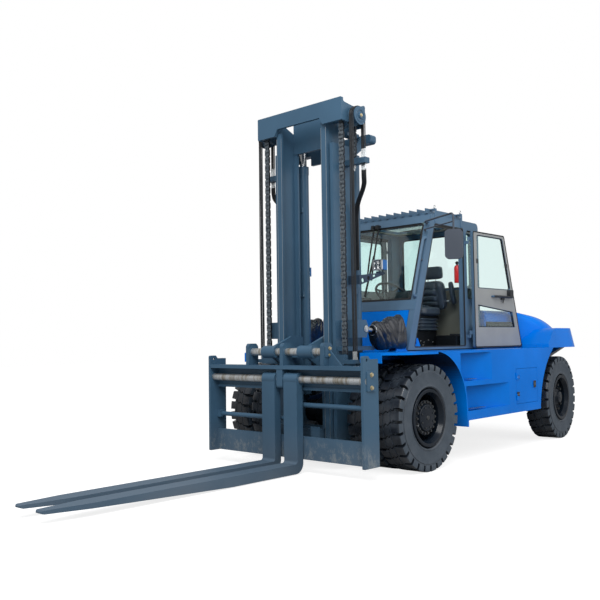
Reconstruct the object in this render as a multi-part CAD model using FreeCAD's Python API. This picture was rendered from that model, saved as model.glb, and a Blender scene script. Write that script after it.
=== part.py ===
import FreeCAD, Part
import math
import os
from FreeCAD import Vector as V

# Heavy diesel counterbalance truck with a two-stage mast and a closed cab. Millimetres.
# x runs to the truck's left, y to the rear, z up. Every piece is modelled with y = 0 at the front axle
# and z = 0 on the floor; save() moves it by FRONT_AXLE_Y, so that the frame's origin is on the floor,
# midway between the fork tips and the tail.

# Whole truck
OVERALL_LENGTH = 8130
TIP_Y = -3840                                   # fork tips, ahead of the front axle
FRONT_AXLE_Y = -OVERALL_LENGTH / 2 - TIP_Y
TAIL_Y = TIP_Y + OVERALL_LENGTH
WHEELBASE = 3400
SIDE_X = 1235                                   # half width over the side bodies and front tyres
DECK_Z = 1250
DECK_T = 25
RUN = 1.0                                       # radial running clearance of bearings

# Wheels
TYRE_R = 562
TYRE_W = 312
AXLE_Z = TYRE_R
RIM_R = 254
TWIN_GAP = 45
LUGS = 28                                       # lugs round each shoulder of a tyre
LUG_L = 80                                      # how far a lug reaches in from the wall
LUG_ROOT = 496
RIM_IN_R = 243
REAR_TYRE_X = 1004                              # middle of a rear tyre
KINGPIN_X = 760
KINGPIN_R = 28
STEER = math.radians(4.3)                       # the rear wheels as parked, turned a little to one side
LEVER_ARM = 120                                 # kingpin to a steering pin

# Mast
INNER_RAIL_X = 297                              # inner edge of the inner rail's flanges
RAIL_FLANGE = 76
INNER_FRONT_Y, INNER_REAR_Y = -595, -300
OUTER_FRONT_Y, OUTER_REAR_Y = -556, -205
OUTER_RAIL_X = 388
OUTER_WEB_X = 432
RAIL_Z0 = 150
INNER_TOP_Z, OUTER_TOP_Z = 3760, 3530
BEAM_X, BEAM_Y, BEAM_T = 630, -642, 36
BEAM_Z0, BEAM_Z1 = 3725, 3972
LIFT_X, LIFT_Y, LIFT_R = 383, -130, 66
LIFT_Z0 = 760                                   # foot of a lift cylinder, above the axle
CHAIN_X, CHAIN_Y, CHAIN_R = 560, -557, 105      # chain line and its sheave
HOSE_X, HOSE_Y, HOSE_R = 684, -545, 103         # hose line and its pulley
SHEAVE_Z = 3785
HOSE_ANCHOR_Z = 3368
CHAIN_ANCHOR_Z = 3378
ANCHOR_BAR_Z = 3350                             # top of the bar that both hang from

# Carriage and forks
PLATE_X, PLATE_T = 1130, 30
PLATE_Y0, PLATE_Y1 = -992, -750
PLATE_Z0, PLATE_Z1 = 140, 1195
SHAFT_Y, SHAFT_Z, SHAFT_R = -925, 982, 39
UPPER_Y, UPPER_Z, UPPER_R = -880, 1268, 41
FORK_W, FORK_T, FORK_GAP = 190, 90, 132
FORK_Z0 = 12
HEEL_R = 110

# Tilt cylinders
TILT_X = 605
EYE_Y, EYE_Z = -325, 1506
TAIL_PIN_Y, TAIL_PIN_Z = 335, 1450
TILT_PIN_R = 24
EYE_RUN = 5.0                                   # radial play of the rod eye, which takes up its drift off the pin

# Cab and rear body
CAB_X, PILLAR = 650, 80
CAB_Z0, CAB_Z1 = 1262, 2900
CAB_FOOT_Y, CAB_HEAD_Y = 474, 985               # front of the A-pillar at the sill and at the roof
CAB_B_Y, CAB_REAR_Y = 1765, 2140
RIGHT_B_Y = 1915                                # the right door's opening reaches further back
DOOR_X0, DOOR_X1 = 655, 690
HINGE_X, HINGE_Y = 697, 1800
DOOR_OPEN = 178
HOOD_X, HOOD_Y0, HOOD_Y1, HOOD_Z = 690, 2200, 3030, 1755
SHOULDER_X, SHOULDER_Z = 1165, 1515
HATCH_X, HATCH_Y = 1241, 1944                    # side door's hinge line
TOW_PIN_R = 24.5


# ---------------------------------------------------------------- shapes that several pieces use

def block(x0, x1, y0, y1, z0, z1):
    return Part.makeBox(x1 - x0, y1 - y0, z1 - z0, V(x0, y0, z0))


def bar(start, end, radius):
    """Round bar between two points."""
    line = V(*end) - V(*start)
    return Part.makeCylinder(radius, line.Length, V(*start), line)


def bar_x(x0, x1, y, z, radius):
    return bar((x0, y, z), (x1, y, z), radius)


def bar_z(x, y, z0, z1, radius):
    return bar((x, y, z0), (x, y, z1), radius)


def place(axis, level, a, b):
    """Point of a drawing plane: axis is its normal, (a, b) are the other two coordinates in order."""
    if axis == "x":
        return V(level, a, b)
    if axis == "y":
        return V(a, level, b)
    return V(a, b, level)


def outline(axis, level, corners):
    """Closed wire through corners (a, b) or (a, b, radius), where a radius rounds that corner."""
    points = [place(axis, level, c[0], c[1]) for c in corners]
    count = len(points)
    edges, joints = [], []
    for i, corner in enumerate(corners):
        here = points[i]
        radius = corner[2] if len(corner) > 2 else 0
        if not radius:
            joints.append((here, here))
            continue
        before = (points[i - 1] - here).normalize()
        after = (points[(i + 1) % count] - here).normalize()
        half = math.acos(max(-1, min(1, before.dot(after)))) / 2
        reach = radius / math.tan(half)
        centre = here + (before + after).normalize() * (radius / math.sin(half))
        middle = centre + (here - centre).normalize() * radius
        start, end = here + before * reach, here + after * reach
        joints.append((start, end))
        edges.append(Part.Arc(start, middle, end).toShape())
    for i in range(count):
        start, end = joints[i][1], joints[(i + 1) % count][0]
        if (end - start).Length > 0.01:
            edges.append(Part.LineSegment(start, end).toShape())
    return Part.Wire(Part.__sortEdges__(edges))


def slab(axis, lo, hi, corners):
    """Plate of the given outline between two levels of its normal."""
    push = place(axis, hi - lo, 0, 0)
    return Part.Face(outline(axis, lo, corners)).extrude(push)


def turned(x_r, y, z, mirror=False):
    """Solid turned about the line (y, z) along x from corners (x, r) or (x, r, radius)."""
    face = Part.Face(outline("y", 0, x_r))
    solid = face.revolve(V(0, 0, 0), V(1, 0, 0), 360)
    solid.translate(V(0, y, z))
    return mirrored(solid) if mirror else solid


def mirrored(shape):
    return shape.mirror(V(0, 0, 0), V(1, 0, 0))


def pair(shape):
    return [shape, mirrored(shape)]


def fuse(pieces):
    whole = pieces[0].multiFuse(pieces[1:]) if len(pieces) > 1 else pieces[0]
    return whole.removeSplitter()


def ring(centre, pitch_radius, count, make, phase=0.0):
    """Pieces on a circle about the x line through centre: make(y, z) at each place."""
    steps = [phase + 2 * math.pi * i / count for i in range(count)]
    return [make(centre[0] + pitch_radius * math.cos(a), centre[1] + pitch_radius * math.sin(a)) for a in steps]


def bent_bar(points, radius, bend):
    """Round bar along straight runs joined by arcs of radius bend."""
    route = [V(*p) for p in points]
    edges, start = [], route[0]
    for i in range(1, len(route) - 1):
        before = (route[i - 1] - route[i]).normalize()
        after = (route[i + 1] - route[i]).normalize()
        half = math.acos(before.dot(after)) / 2
        reach = bend / math.tan(half)
        centre = route[i] + (before + after).normalize() * (bend / math.sin(half))
        first, last = route[i] + before * reach, route[i] + after * reach
        middle = centre + (route[i] - centre).normalize() * bend
        edges += [Part.LineSegment(start, first).toShape(), Part.Arc(first, middle, last).toShape()]
        start = last
    edges.append(Part.LineSegment(start, route[-1]).toShape())
    section = Part.Wire(Part.Circle(route[0], route[1] - route[0], radius).toShape())
    return Part.Wire(edges).makePipeShell([section], True, False)


def save(name, shape):
    moved = shape.copy()
    moved.translate(V(0, FRONT_AXLE_Y, 0))
    moved.exportStep("parts/" + name + ".step")


# ---------------------------------------------------------------- wheels

def lug_ring(x_in, x_out, phase):
    """Shoulder lugs as one toothed ring, whose tips fall away a little towards the wall."""
    def teeth(x, tip):
        corners = []
        for i in range(LUGS):
            for share, r in ((0.12, LUG_ROOT), (0.15, tip), (0.85, tip), (0.88, LUG_ROOT)):
                a = 2 * math.pi * (i + phase + share) / LUGS
                corners.append((r * math.cos(a), AXLE_Z + r * math.sin(a)))
        return outline("x", x, corners)
    solid = Part.makeLoft([teeth(x_in, TYRE_R - 0.6), teeth(x_out, TYRE_R - 5)], True, True)
    return solid.cut(bar_x(min(x_in, x_out) - 1, max(x_in, x_out) + 1, 0, AXLE_Z, 480))


def tyre(middle_x, lugged=True):
    """Cross-ply tyre: beads on the rim, bulged walls, crown, and a ring of lugs on each shoulder."""
    half = TYRE_W / 2
    neck = half - LUG_L
    shoulder = [(half - 5, 489), (neck, 489), (neck, TYRE_R)] if lugged else [(half - 4, 530, 10), (half - 24, TYRE_R, 12)]
    side = [(half - 35, RIM_R + 1), (half - 35, 305, 3), (half - 8, 318, 8), (half, 400, 60)] + shoulder
    section = side + [(-c[0],) + tuple(c[1:]) for c in reversed(side)]
    body = turned([(middle_x + c[0],) + tuple(c[1:]) for c in section], 0, AXLE_Z)
    if not lugged:
        return body
    return fuse([body, lug_ring(middle_x + neck - 1, middle_x + half - 3, 0.0),
                 lug_ring(middle_x - neck + 1, middle_x - half + 3, 0.5)])


def rim_barrel(middle_x, side=1):
    """Rolled rim: base under the tyre, a fixed flange on one bead and the side ring on the other (side 1: outer)."""
    return turned([(middle_x + side * x,) + tuple(rest) for x, *rest in (
        (-134, 262), (-134, 298, 6), (-121, 300, 4), (-121, RIM_R), (121, RIM_R), (121, 302), (148, 302, 5),
        (155, 296, 3), (155, 268, 3), (104, RIM_IN_R), (-104, RIM_IN_R))], 0, AXLE_Z)


def front_wheel():
    """Twin wheel: two tyres; two rims joined at a deep disc, with the planetary hub, its studs and cover."""
    outer_x = SIDE_X - TYRE_W / 2
    inner_x = outer_x - TYRE_W - TWIN_GAP
    middle = (outer_x + inner_x) / 2
    tyres = Part.makeCompound([tyre(outer_x), tyre(inner_x, False)])
    spacer = turned([(middle - 73, 238), (middle - 73, 251), (middle + 73, 251), (middle + 73, 238)], 0, AXLE_Z)
    disc = turned([(middle + 10, 130), (middle + 10, 242), (middle + 32, 242), (middle + 32, 130)], 0, AXLE_Z)
    hub = turned([(650, 91), (650, 150), (middle + 32, 158, 8), (1130, 150, 8), (1142, 183, 4), (1176, 183, 6),
                  (1180, 146), (1202, 138, 8), (1208, 60, 4), (1208, 0), (1100, 0), (1100, 91)], 0, AXLE_Z)
    studs = ring((0, AXLE_Z), 165, 18, lambda y, z: bar_x(1172, 1190, y, z, 10))
    wheel_nuts = ring((0, AXLE_Z), 196, 10, lambda y, z: bar_x(middle + 30, middle + 66, y, z, 14))
    rim = fuse([rim_barrel(outer_x), rim_barrel(inner_x, -1), spacer, disc, hub] + studs + wheel_nuts)
    return tyres, rim


def rear_wheel():
    """Single steered wheel: tyre, and a rim with a dished disc, hub cap and nuts."""
    disc = turned([(REAR_TYRE_X + 10, 90), (REAR_TYRE_X + 40, 246), (REAR_TYRE_X + 62, 246),
                   (REAR_TYRE_X + 34, 90)], 0, AXLE_Z)
    hub = turned([(905, 60 + RUN), (905, 112), (1040, 122, 8), (1088, 116, 10), (1112, 84, 10), (1136, 72, 8),
                  (1140, 30), (1140, 0), (1110, 0), (1110, 60 + RUN)], 0, AXLE_Z)
    nuts = ring((0, AXLE_Z), 172, 10, lambda y, z: bar_x(REAR_TYRE_X + 34, REAR_TYRE_X + 84, y, z, 15))
    rim = fuse([rim_barrel(REAR_TYRE_X), disc, hub] + nuts)
    rolled = [tyre(REAR_TYRE_X), rim]
    for piece in rolled:
        piece.translate(V(0, WHEELBASE, 0))
    return rolled


def steered(shape, side=1):
    """Turns a piece of the left (1) or right (-1) wheel about its kingpin, to where it stands."""
    turned_shape = shape.copy()
    turned_shape.rotate(V(side * KINGPIN_X, WHEELBASE, 0), V(0, 0, 1), math.degrees(STEER))
    return turned_shape


# ---------------------------------------------------------------- axles and steering

def drive_axle():
    """Banjo housing between the twin wheels: tube, differential bowl, spindles, brake plates, pads."""
    tube = bar_x(-545, 545, 0, AXLE_Z, 130)
    bowl = turned([(-250, 0), (-250, 128), (-205, 190, 60), (-60, 240, 120), (60, 240, 120), (205, 190, 60),
                   (250, 128), (250, 0)], 0, AXLE_Z)
    nose = bar((0, 0, AXLE_Z), (0, 400, AXLE_Z), 105)
    ends = []
    for piece in (bar_x(540, 1090, 0, AXLE_Z, 91 - 1), bar_x(525, 545, 0, AXLE_Z, 210),
                  block(292, 352, -140, 160, AXLE_Z + 60, 700)):
        ends += pair(piece)
    return fuse([tube, bowl, nose] + ends)


def steer_axle():
    """Box beam hung on a centre trunnion, with a forked end at each kingpin and the steering cylinder."""
    y0, y1 = WHEELBASE - 80, WHEELBASE + 80
    beam = slab("y", y0, y1, [(-640, 640), (-640, 430), (-200, 430), (-120, 400), (120, 400), (200, 430),
                              (640, 430), (640, 640)])
    pieces = [beam]
    for z0, z1 in ((430, 478), (642, 690)):
        cheek = slab("z", z0, z1, [(560, y0), (KINGPIN_X, WHEELBASE - 74), (KINGPIN_X, WHEELBASE + 74),
                                   (560, y1)])
        eye = bar_z(KINGPIN_X, WHEELBASE, z0, z1, 74).cut(bar_z(KINGPIN_X, WHEELBASE, z0, z1, KINGPIN_R + RUN))
        cheek = cheek.cut(bar_z(KINGPIN_X, WHEELBASE, z0, z1, KINGPIN_R + RUN))
        pieces += pair(fuse([cheek, eye]))
    web = block(560, 660, WHEELBASE - 30, WHEELBASE + 30, 430, 690)
    pieces += pair(web)
    trunnion = bar((0, WHEELBASE - 150, 560), (0, WHEELBASE + 181, 560), 52)
    barrel_y = WHEELBASE - LEVER_ARM
    barrel = bar_x(110, 430, barrel_y, 757, 44).cut(bar_x(130, 430, barrel_y, 757, 23))
    post = block(200, 300, barrel_y - 10, WHEELBASE, 630, 716)
    return fuse(pieces + [trunnion, barrel, post])


def knuckle(with_front_arm):
    """Steering knuckle on its kingpin, with the wheel spindle and the lever plate above the fork."""
    boss = bar_z(KINGPIN_X, WHEELBASE, 484, 636, 70)
    pin = bar_z(KINGPIN_X, WHEELBASE, 424, 720, KINGPIN_R)
    spindle = bar_x(KINGPIN_X, 1100, WHEELBASE, AXLE_Z, 60)
    collar = bar_x(KINGPIN_X + 40, 896, WHEELBASE, AXLE_Z, 72)
    far_y = WHEELBASE - LEVER_ARM if with_front_arm else WHEELBASE
    lever = slab("z", 700, 728, [(KINGPIN_X - 34, far_y), (KINGPIN_X + 34, far_y),
                                 (KINGPIN_X + 34, WHEELBASE + LEVER_ARM), (KINGPIN_X - 34, WHEELBASE + LEVER_ARM)])
    ends = [bar_z(KINGPIN_X, WHEELBASE + LEVER_ARM, 700, 728, 34)]
    ends.append(bar_z(KINGPIN_X, far_y, 700, 728, 34))
    track_pin = bar_z(KINGPIN_X, WHEELBASE + LEVER_ARM, 728, 778, 13)
    return fuse([boss, pin, spindle, collar, lever, track_pin] + ends)


def tie_rod():
    """Tube with an eye at each end that keeps both knuckles parallel."""
    y = WHEELBASE + LEVER_ARM
    pieces = [bar_x(-KINGPIN_X + 20, KINGPIN_X - 20, y, 755, 19)]
    for piece in pair(bar_z(KINGPIN_X, y, 733, 775, 32)):
        pieces.append(piece)
    holes = pair(bar_z(KINGPIN_X, y, 733, 775, 13 + RUN))
    rod = fuse(pieces).cut(Part.makeCompound(holes))
    rod.translate(V(-LEVER_ARM * math.sin(STEER), -LEVER_ARM * (1 - math.cos(STEER)), 0))
    return rod


def steer_rod():
    """Steering cylinder's rod, whose eye lies over the left knuckle's front arm."""
    y = WHEELBASE - LEVER_ARM
    x = KINGPIN_X + LEVER_ARM * math.sin(STEER)
    eye = bar_z(x, y, 733, 775, 32)
    return fuse([bar_x(232, x, y, 757, 22), eye]).cut(bar_z(x, y, 733, 775, 14))


# ---------------------------------------------------------------- chassis and side bodies

def chassis_frame():
    """Two deep side plates with cross plates, the deck, the cowl, and the tilt cylinders' lugs."""
    side = slab("x", 300, 340, [(-140, 700), (165, 700), (300, 500), (3040, 500), (3120, 860), (3690, 860),
                                (3690, 1200), (100, 1200), (100, 760, 30), (-140, 732)])
    cross = [block(-305, 305, 330, 355, 520, 1200).cut(bar((0, 320, AXLE_Z), (0, 370, AXLE_Z), 112)), block(-305, 305, 1500, 1525, 520, 1200),
             block(-305, 305, 3000, 3025, 520, 1200)]
    hangers = [block(-90, 90, WHEELBASE - 150, WHEELBASE - 125, 480, 900),
               block(-90, 90, WHEELBASE + 156, WHEELBASE + 181, 480, 900),
               block(-305, 305, WHEELBASE - 150, WHEELBASE + 181, 870, 895)]
    hangers = [h.cut(bar((0, WHEELBASE - 160, 560), (0, WHEELBASE + 190, 560), 52)) for h in hangers]
    deck = block(-565, 565, 165, HOOD_Y0 - 2, DECK_Z - DECK_T, DECK_Z)
    stiffener = block(-340, 340, 165, 190, 1190, DECK_Z - DECK_T + 1)
    rise = [block(300, 340, 165, HOOD_Y0 - 2, 1199, DECK_Z - DECK_T + 1)]
    lean = (CAB_HEAD_Y - CAB_FOOT_Y) / (2800 - CAB_Z0)
    top_y = CAB_FOOT_Y + lean * (1728 - CAB_Z0)
    cowl = slab("x", -565, 565, [(CAB_FOOT_Y, DECK_Z - 10), (CAB_FOOT_Y + 16, DECK_Z - 10), (top_y + 16, 1728),
                                 (top_y, 1728)])
    lugs = []
    for x in (TILT_X - 52, TILT_X + 30):
        lug = slab("x", x, x + 22, [(235, DECK_Z + 5), (430, DECK_Z + 5), (TAIL_PIN_Y + 42, 1470, 40),
                                    (TAIL_PIN_Y, 1500, 30), (TAIL_PIN_Y - 42, 1470, 40)])
        lugs += pair(lug)
    base = block(TILT_X - 60, TILT_X + 60, 225, 440, DECK_Z, DECK_Z + 12)
    pin = bar_x(TILT_X - 56, TILT_X + 56, TAIL_PIN_Y, TAIL_PIN_Z, TILT_PIN_R)
    bridge = block(300, 560, 225, 440, DECK_Z - DECK_T - 20, DECK_Z - DECK_T + 1)
    pieces = [deck, stiffener, cowl] + cross + hangers + lugs
    for piece in (side, base, pin, bridge) + tuple(rise):
        pieces += pair(piece)
    return fuse(pieces)


def side_body(corner_x):
    """Left body from the front fender to the rear arch, with the two recessed steps and the tool box."""
    arch_y, arch_z, arch_r = 140, 640, 610
    top = DECK_Z
    face = [Part.LineSegment(V(565, arch_y, top), V(565, 3045, top)).toShape(),
            Part.Arc(V(565, 3045, top), V(565, 2728, 900), V(565, 2608, 468)).toShape(),
            Part.LineSegment(V(565, 2608, 468), V(565, 790, 468)).toShape(),
            Part.LineSegment(V(565, 790, 468), V(565, 790, 398)).toShape(),
            Part.LineSegment(V(565, 790, 398), V(565, 764, 398)).toShape(),
            Part.LineSegment(V(565, 764, 398), V(565, arch_y + arch_r, arch_z)).toShape(),
            Part.Arc(V(565, arch_y + arch_r, arch_z),
                     V(565, arch_y + arch_r * math.sin(math.pi / 4), arch_z + arch_r * math.cos(math.pi / 4)),
                     V(565, arch_y, top)).toShape()]
    body = Part.Face(Part.Wire(face)).extrude(V(SIDE_X - 565, 0, 0))
    for y_end, z0, z1 in ((1340, 908, 1224), (1765, 572, 850)):
        recess = slab("z", z0, z1, [(SIDE_X + 1, 640), (SIDE_X - 165, 640), (SIDE_X, y_end), (SIDE_X + 1, y_end)])
        lip = slab("x", SIDE_X - 400, SIDE_X + 5, [(660, 300), (790, 300), (778, 640), (740, 860),
                                                   (640, 1020), (560, 1130), (640, 1300), (400, 1300)])
        body = body.cut(recess.cut(lip))
    fender = slab("z", DECK_Z - DECK_T, DECK_Z, [(775, -580), (corner_x, -580), (SIDE_X, -300), (SIDE_X, 190),
                                                 (565, 190), (565, -320), (775, -320, 40)])
    skirt = block(775, corner_x, -580, -566, 1145, DECK_Z)
    inner = slab("x", 565, 585, [(-318, 1140, 30), (-100, 1140, 100), (160, 1180, 60), (190, DECK_Z), (-318, DECK_Z)])
    box = block(760, SIDE_X + 1, 1964, 2506, 586, 986)
    rebate = block(SIDE_X - 24, SIDE_X + 1, 1944, 2524, 568, 1004)
    posts = [bar_z(HATCH_X, HATCH_Y, z + 29, z + 56, 5.5) for z in (640, 900)]
    posts += [block(SIDE_X - 6, HATCH_X, HATCH_Y - 14, HATCH_Y, z + 29, z + 56) for z in (640, 900)]
    return fuse([body, fender, skirt, inner]).cut(box).cut(rebate).fuse(posts).removeSplitter()


def side_door():
    """Tool box door in the left body: flat panel, two hinges and a recessed latch."""
    panel = slab("x", SIDE_X - 22, SIDE_X, [(1948, 572, 16), (2520, 572, 16), (2520, 1000, 16), (1948, 1000, 16)])
    pieces = [panel]
    for z in (640, 900):
        pieces.append(block(SIDE_X - 1, HATCH_X + 5, HATCH_Y + 1, 1992, z - 28, z + 28))
        pieces.append(bar_z(HATCH_X, HATCH_Y, z - 28, z + 28, 5.5))
    latch = slab("x", SIDE_X - 1, SIDE_X + 6, [(2393, 748, 12), (2463, 748, 12), (2463, 838, 12), (2393, 838, 12)])
    grip = block(SIDE_X + 2, SIDE_X + 8, 2404, 2452, 776, 812)
    return fuse(pieces + [latch.cut(grip)])


# ---------------------------------------------------------------- counterweight, hood, engine

def tapered(low, high, z0, z1):
    """Block between two plan outlines given as corner lists."""
    return Part.makeLoft([outline("z", z0, low), outline("z", z1, high)], True, True)


def tail_plan(half, rear, corner, front):
    return [(-half, front), (-half, rear, corner), (half, rear, corner), (half, front)]


def counterweight():
    """Iron casting: shoulders over the rear wheels, dome behind the hood, belly behind the axle."""
    shoulders = tapered(tail_plan(SHOULDER_X, TAIL_Y, 480, 3050), tail_plan(SHOULDER_X - 52, TAIL_Y - 62, 430, 3050),
                        1247, SHOULDER_Z)
    profile = slab("x", -1300, 1300, [(3056, 1240), (3075, 1300, 60), (3330, 1512, 330), (3700, 1528),
                                      (TAIL_Y - 60, 1528, 50), (TAIL_Y + 30, 1240)])
    shoulders = shoulders.common(profile)
    across = [(3060, HOOD_X, HOOD_Z, 90), (3200, 760, 1742, 130), (3400, 880, 1708, 200), (3650, 935, 1668, 260),
              (3850, 930, 1618, 280), (4000, 880, 1575, 250), (4150, 760, 1515, 170), (4220, 640, 1440, 120)]
    dome = Part.makeLoft([outline("y", y, [(-w, 1240), (-w, top, r), (w, top, r), (w, 1240)])
                          for y, w, top, r in across], True, False)
    bay = block(-HOOD_X + 30, HOOD_X - 30, 3050, 3400, 1000, 1600)
    belly = tapered([(-1000, 3860), (-1000, TAIL_Y - 15, 380), (1000, TAIL_Y - 15, 380), (1000, 3860)],
                    [(-560, 3860), (-560, 4195, 150), (560, 4195, 150), (560, 3860)], 1250, 1000)
    foot = slab("z", 560, 1010, [(-330, 3720), (-330, 4110, 90), (330, 4110, 90), (330, 3720)])
    keel = block(-330, 330, 3695, 3870, 900, 1300)
    body = fuse([shoulders, dome, belly, foot, keel]).cut(bay)
    grille = block(-300, 300, 4090, 4400, 900, 1420)
    body = body.cut(grille)
    slats = []
    for i in range(8):
        z = 925 + 62 * i
        slats.append(slab("x", -305, 305, [(4086, z), (4112, z + 30), (4106, z + 35), (4080, z + 5)]))
    pin_slot = block(-70, 70, 3960, 4200, 690, 790)
    body = body.cut(pin_slot).cut(bar_z(0, 4040, 550, 850, TOW_PIN_R))
    return fuse([body] + slats)


def engine_hood():
    """Lid over the engine: top with turned-down sides, hinged along its front edge."""
    section = [(-HOOD_X, 1600), (-HOOD_X, HOOD_Z, 90), (HOOD_X, HOOD_Z, 90), (HOOD_X, 1600), (HOOD_X - 25, 1600),
               (HOOD_X - 25, HOOD_Z - 25, 65), (-HOOD_X + 25, HOOD_Z - 25, 65), (-HOOD_X + 25, 1600)]
    lid = slab("y", HOOD_Y0 + 8, HOOD_Y1 + 20, section)
    lid = lid.common(slab("x", -800, 800, [(HOOD_Y0, 1590), (HOOD_Y1, 1590), (HOOD_Y1 + 20, HOOD_Z), (HOOD_Y0, HOOD_Z)]))
    for x in (-420, 380):
        lid = lid.fuse([bar_x(x, x + 40, HOOD_Y0 + 8, HOOD_Z + 10, 9),
                        block(x, x + 40, HOOD_Y0 + 8, HOOD_Y0 + 60, HOOD_Z - 1, HOOD_Z + 6)])
    return lid.removeSplitter()


def engine_cover():
    """Fixed panels under the lid: bulkhead behind the cab and the two sides with their air slots."""
    front = HOOD_Y0 - 2
    bulkhead = slab("y", front - 20, front, [(-HOOD_X, 1250), (-HOOD_X, HOOD_Z - 20, 70), (HOOD_X, HOOD_Z - 20, 70),
                                             (HOOD_X, 1250)])
    side = block(HOOD_X - 25, HOOD_X, front - 1, 3056, DECK_Z, 1594)
    for i in range(6):
        y = 2560 + 70 * i
        side = side.cut(slab("x", HOOD_X - 30, HOOD_X + 5, [(y, 1330, 12), (y + 26, 1330, 12), (y + 26, 1500, 12),
                                                            (y, 1500, 12)]))
    sill = block(565, HOOD_X, front - 1, 3056, DECK_Z, DECK_Z + 12)
    ears = []
    for x in (-460, 340):
        ears += [bar_x(x, x + 39, HOOD_Y0 + 8, HOOD_Z + 10, 9),
                 block(x, x + 39, front - 18, HOOD_Y0 + 3, HOOD_Z - 80, HOOD_Z + 10),
                 block(x, x + 39, HOOD_Y0 - 4, HOOD_Y0 + 6, HOOD_Z + 4, HOOD_Z + 16)]
    return fuse([bulkhead] + pair(side) + pair(sill) + ears)


def engine_block():
    return fuse([block(-270, 270, 1850, 2850, 640, 1190), block(-200, 200, 1950, 2750, 1189, 1215),
                 block(-240, 240, 2500, 2800, 1189, 1480)])


# ---------------------------------------------------------------- cab

def cab_line(z):
    """Front face of the A-pillar at a height."""
    return CAB_FOOT_Y + (CAB_HEAD_Y - CAB_FOOT_Y) * (z - CAB_Z0) / (2800 - CAB_Z0)


def cab_frame():
    """Welded frame: side frames with door and window cut out, front beams, rear wall, roof ring."""
    def side_frame(rear_edge, quarter_light):
        frame = slab("x", CAB_X - PILLAR, CAB_X, [(CAB_FOOT_Y, CAB_Z0), (CAB_REAR_Y, CAB_Z0, 30),
                                                  (CAB_REAR_Y, CAB_Z1 - 10, 60), (cab_line(CAB_Z1) + 14, CAB_Z1, 30)])
        frame = frame.cut(slab("x", 0, 900, [(cab_line(1292) + 118, 1292, 20), (rear_edge, 1292, 20),
                                             (rear_edge, 2790, 30), (cab_line(2790) + 112, 2790, 40)]))
        if quarter_light:
            frame = frame.cut(slab("x", 0, 900, [(1836, 1890, 40), (2085, 1890, 40), (2085, 2780, 40), (1836, 2780, 40)]))
        return frame
    x = CAB_X - 10
    sill = slab("x", -x, x, [(cab_line(1732), 1732), (cab_line(1732) + 80, 1732), (cab_line(1850) + 60, 1850),
                             (cab_line(1850), 1850)])
    brow = slab("x", -x, x, [(cab_line(2800), 2800), (cab_line(2800) + 90, 2800), (cab_line(CAB_Z1) + 100, CAB_Z1),
                             (cab_line(CAB_Z1) + 14, CAB_Z1)])
    rear = slab("y", CAB_REAR_Y - 45, CAB_REAR_Y, [(-x, CAB_Z0), (x, CAB_Z0), (x, CAB_Z1 - 20), (-x, CAB_Z1 - 20)])
    rear = rear.cut(slab("y", 2000, 2300, [(-530, 2055, 60), (530, 2055, 60), (530, 2780, 60), (-530, 2780, 60)]))
    roof = slab("z", CAB_Z1 - 50, CAB_Z1 - 12, [(-x, 1050), (x, 1050), (x, CAB_REAR_Y - 10), (-x, CAB_REAR_Y - 10)])
    roof = roof.cut(slab("z", 2700, 3000, [(-480, 1150, 50), (480, 1150, 50), (480, 1950, 50), (-480, 1950, 50)]))

    def hinged(frame, hinge_y):
        pins = [bar_z(HINGE_X, hinge_y, z - 45, z - 4, 11) for z in (1440, 2640)]
        arms = [block(CAB_X - 5, HINGE_X, hinge_y - 8, hinge_y + 8, z - 45, z - 4) for z in (1440, 2640)]
        return fuse([frame] + pins + arms)
    left = hinged(side_frame(CAB_B_Y, True), HINGE_Y)
    right = mirrored(hinged(side_frame(RIGHT_B_Y, False), HINGE_Y + RIGHT_B_Y - CAB_B_Y))
    return fuse([left, right, sill, brow, rear, roof])


def cab_floor():
    """Floor plate with the seat's pedestal, bellows and tray, and the heater box beside the seat."""
    x = CAB_X - PILLAR
    plate = block(-x, x, CAB_FOOT_Y + 32, CAB_REAR_Y - 50, DECK_Z, DECK_Z + 22)
    pedestal = block(-200, 200, 1330, 1790, DECK_Z + 20, 1500)
    bellows = [slab("z", 1499 + 38 * i, 1539 + 38 * i, [(-214 + 16 * (i % 2), 1345, 24), (214 - 16 * (i % 2), 1345, 24),
                                                       (214 - 16 * (i % 2), 1800, 24), (-214 + 16 * (i % 2), 1800, 24)])
               for i in range(4)]
    tray = block(-225, 225, 1320, 1810, 1650, 1690)
    box = slab("y", 1700, 2050, [(250, DECK_Z + 20), (x - 25, DECK_Z + 20), (x - 25, 1430, 20), (250, 1430, 20)])
    return fuse([plate, pedestal, tray, box] + bellows)


def sill_brackets():
    """Gusset plates with a slot, one on the sill in each doorway's front corner."""
    plate = slab("x", 604, 632, [(632, 1292), (762, 1292, 10), (706, 1402, 30), (642, 1402, 4), (613, 1319)])
    return Part.makeCompound(pair(plate.cut(slab("x", 600, 640, [(658, 1330, 9), (676, 1330, 9), (676, 1374, 9),
                                                                 (658, 1374, 9)]))))


def seat():
    """Driver's seat: cushion, back and head restraint as plain pads, and the armrest folded up."""
    cushion = slab("x", -245, 245, [(1290, 1690, 40), (1800, 1690, 20), (1800, 1770, 30), (1290, 1815, 50)])
    back = slab("x", -235, 235, [(1715, 1765, 30), (1850, 1765, 30), (1945, 2150, 40), (1835, 2150, 50)])
    head = slab("x", -130, 130, [(1868, 2186, 30), (1946, 2186, 30), (1962, 2355, 34), (1884, 2355, 34)])
    posts = [bar((x, 1896, 2120), (x, 1914, 2200), 7) for x in (-60, 60)]
    arm = slab("x", 285, 335, [(1830, 1830, 25), (1890, 1820, 25), (1975, 2130, 30), (1905, 2145, 30)])
    pivot = bar_x(230, 290, 1862, 1880, 16)
    return fuse([cushion, back, head, arm, pivot] + posts)


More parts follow.
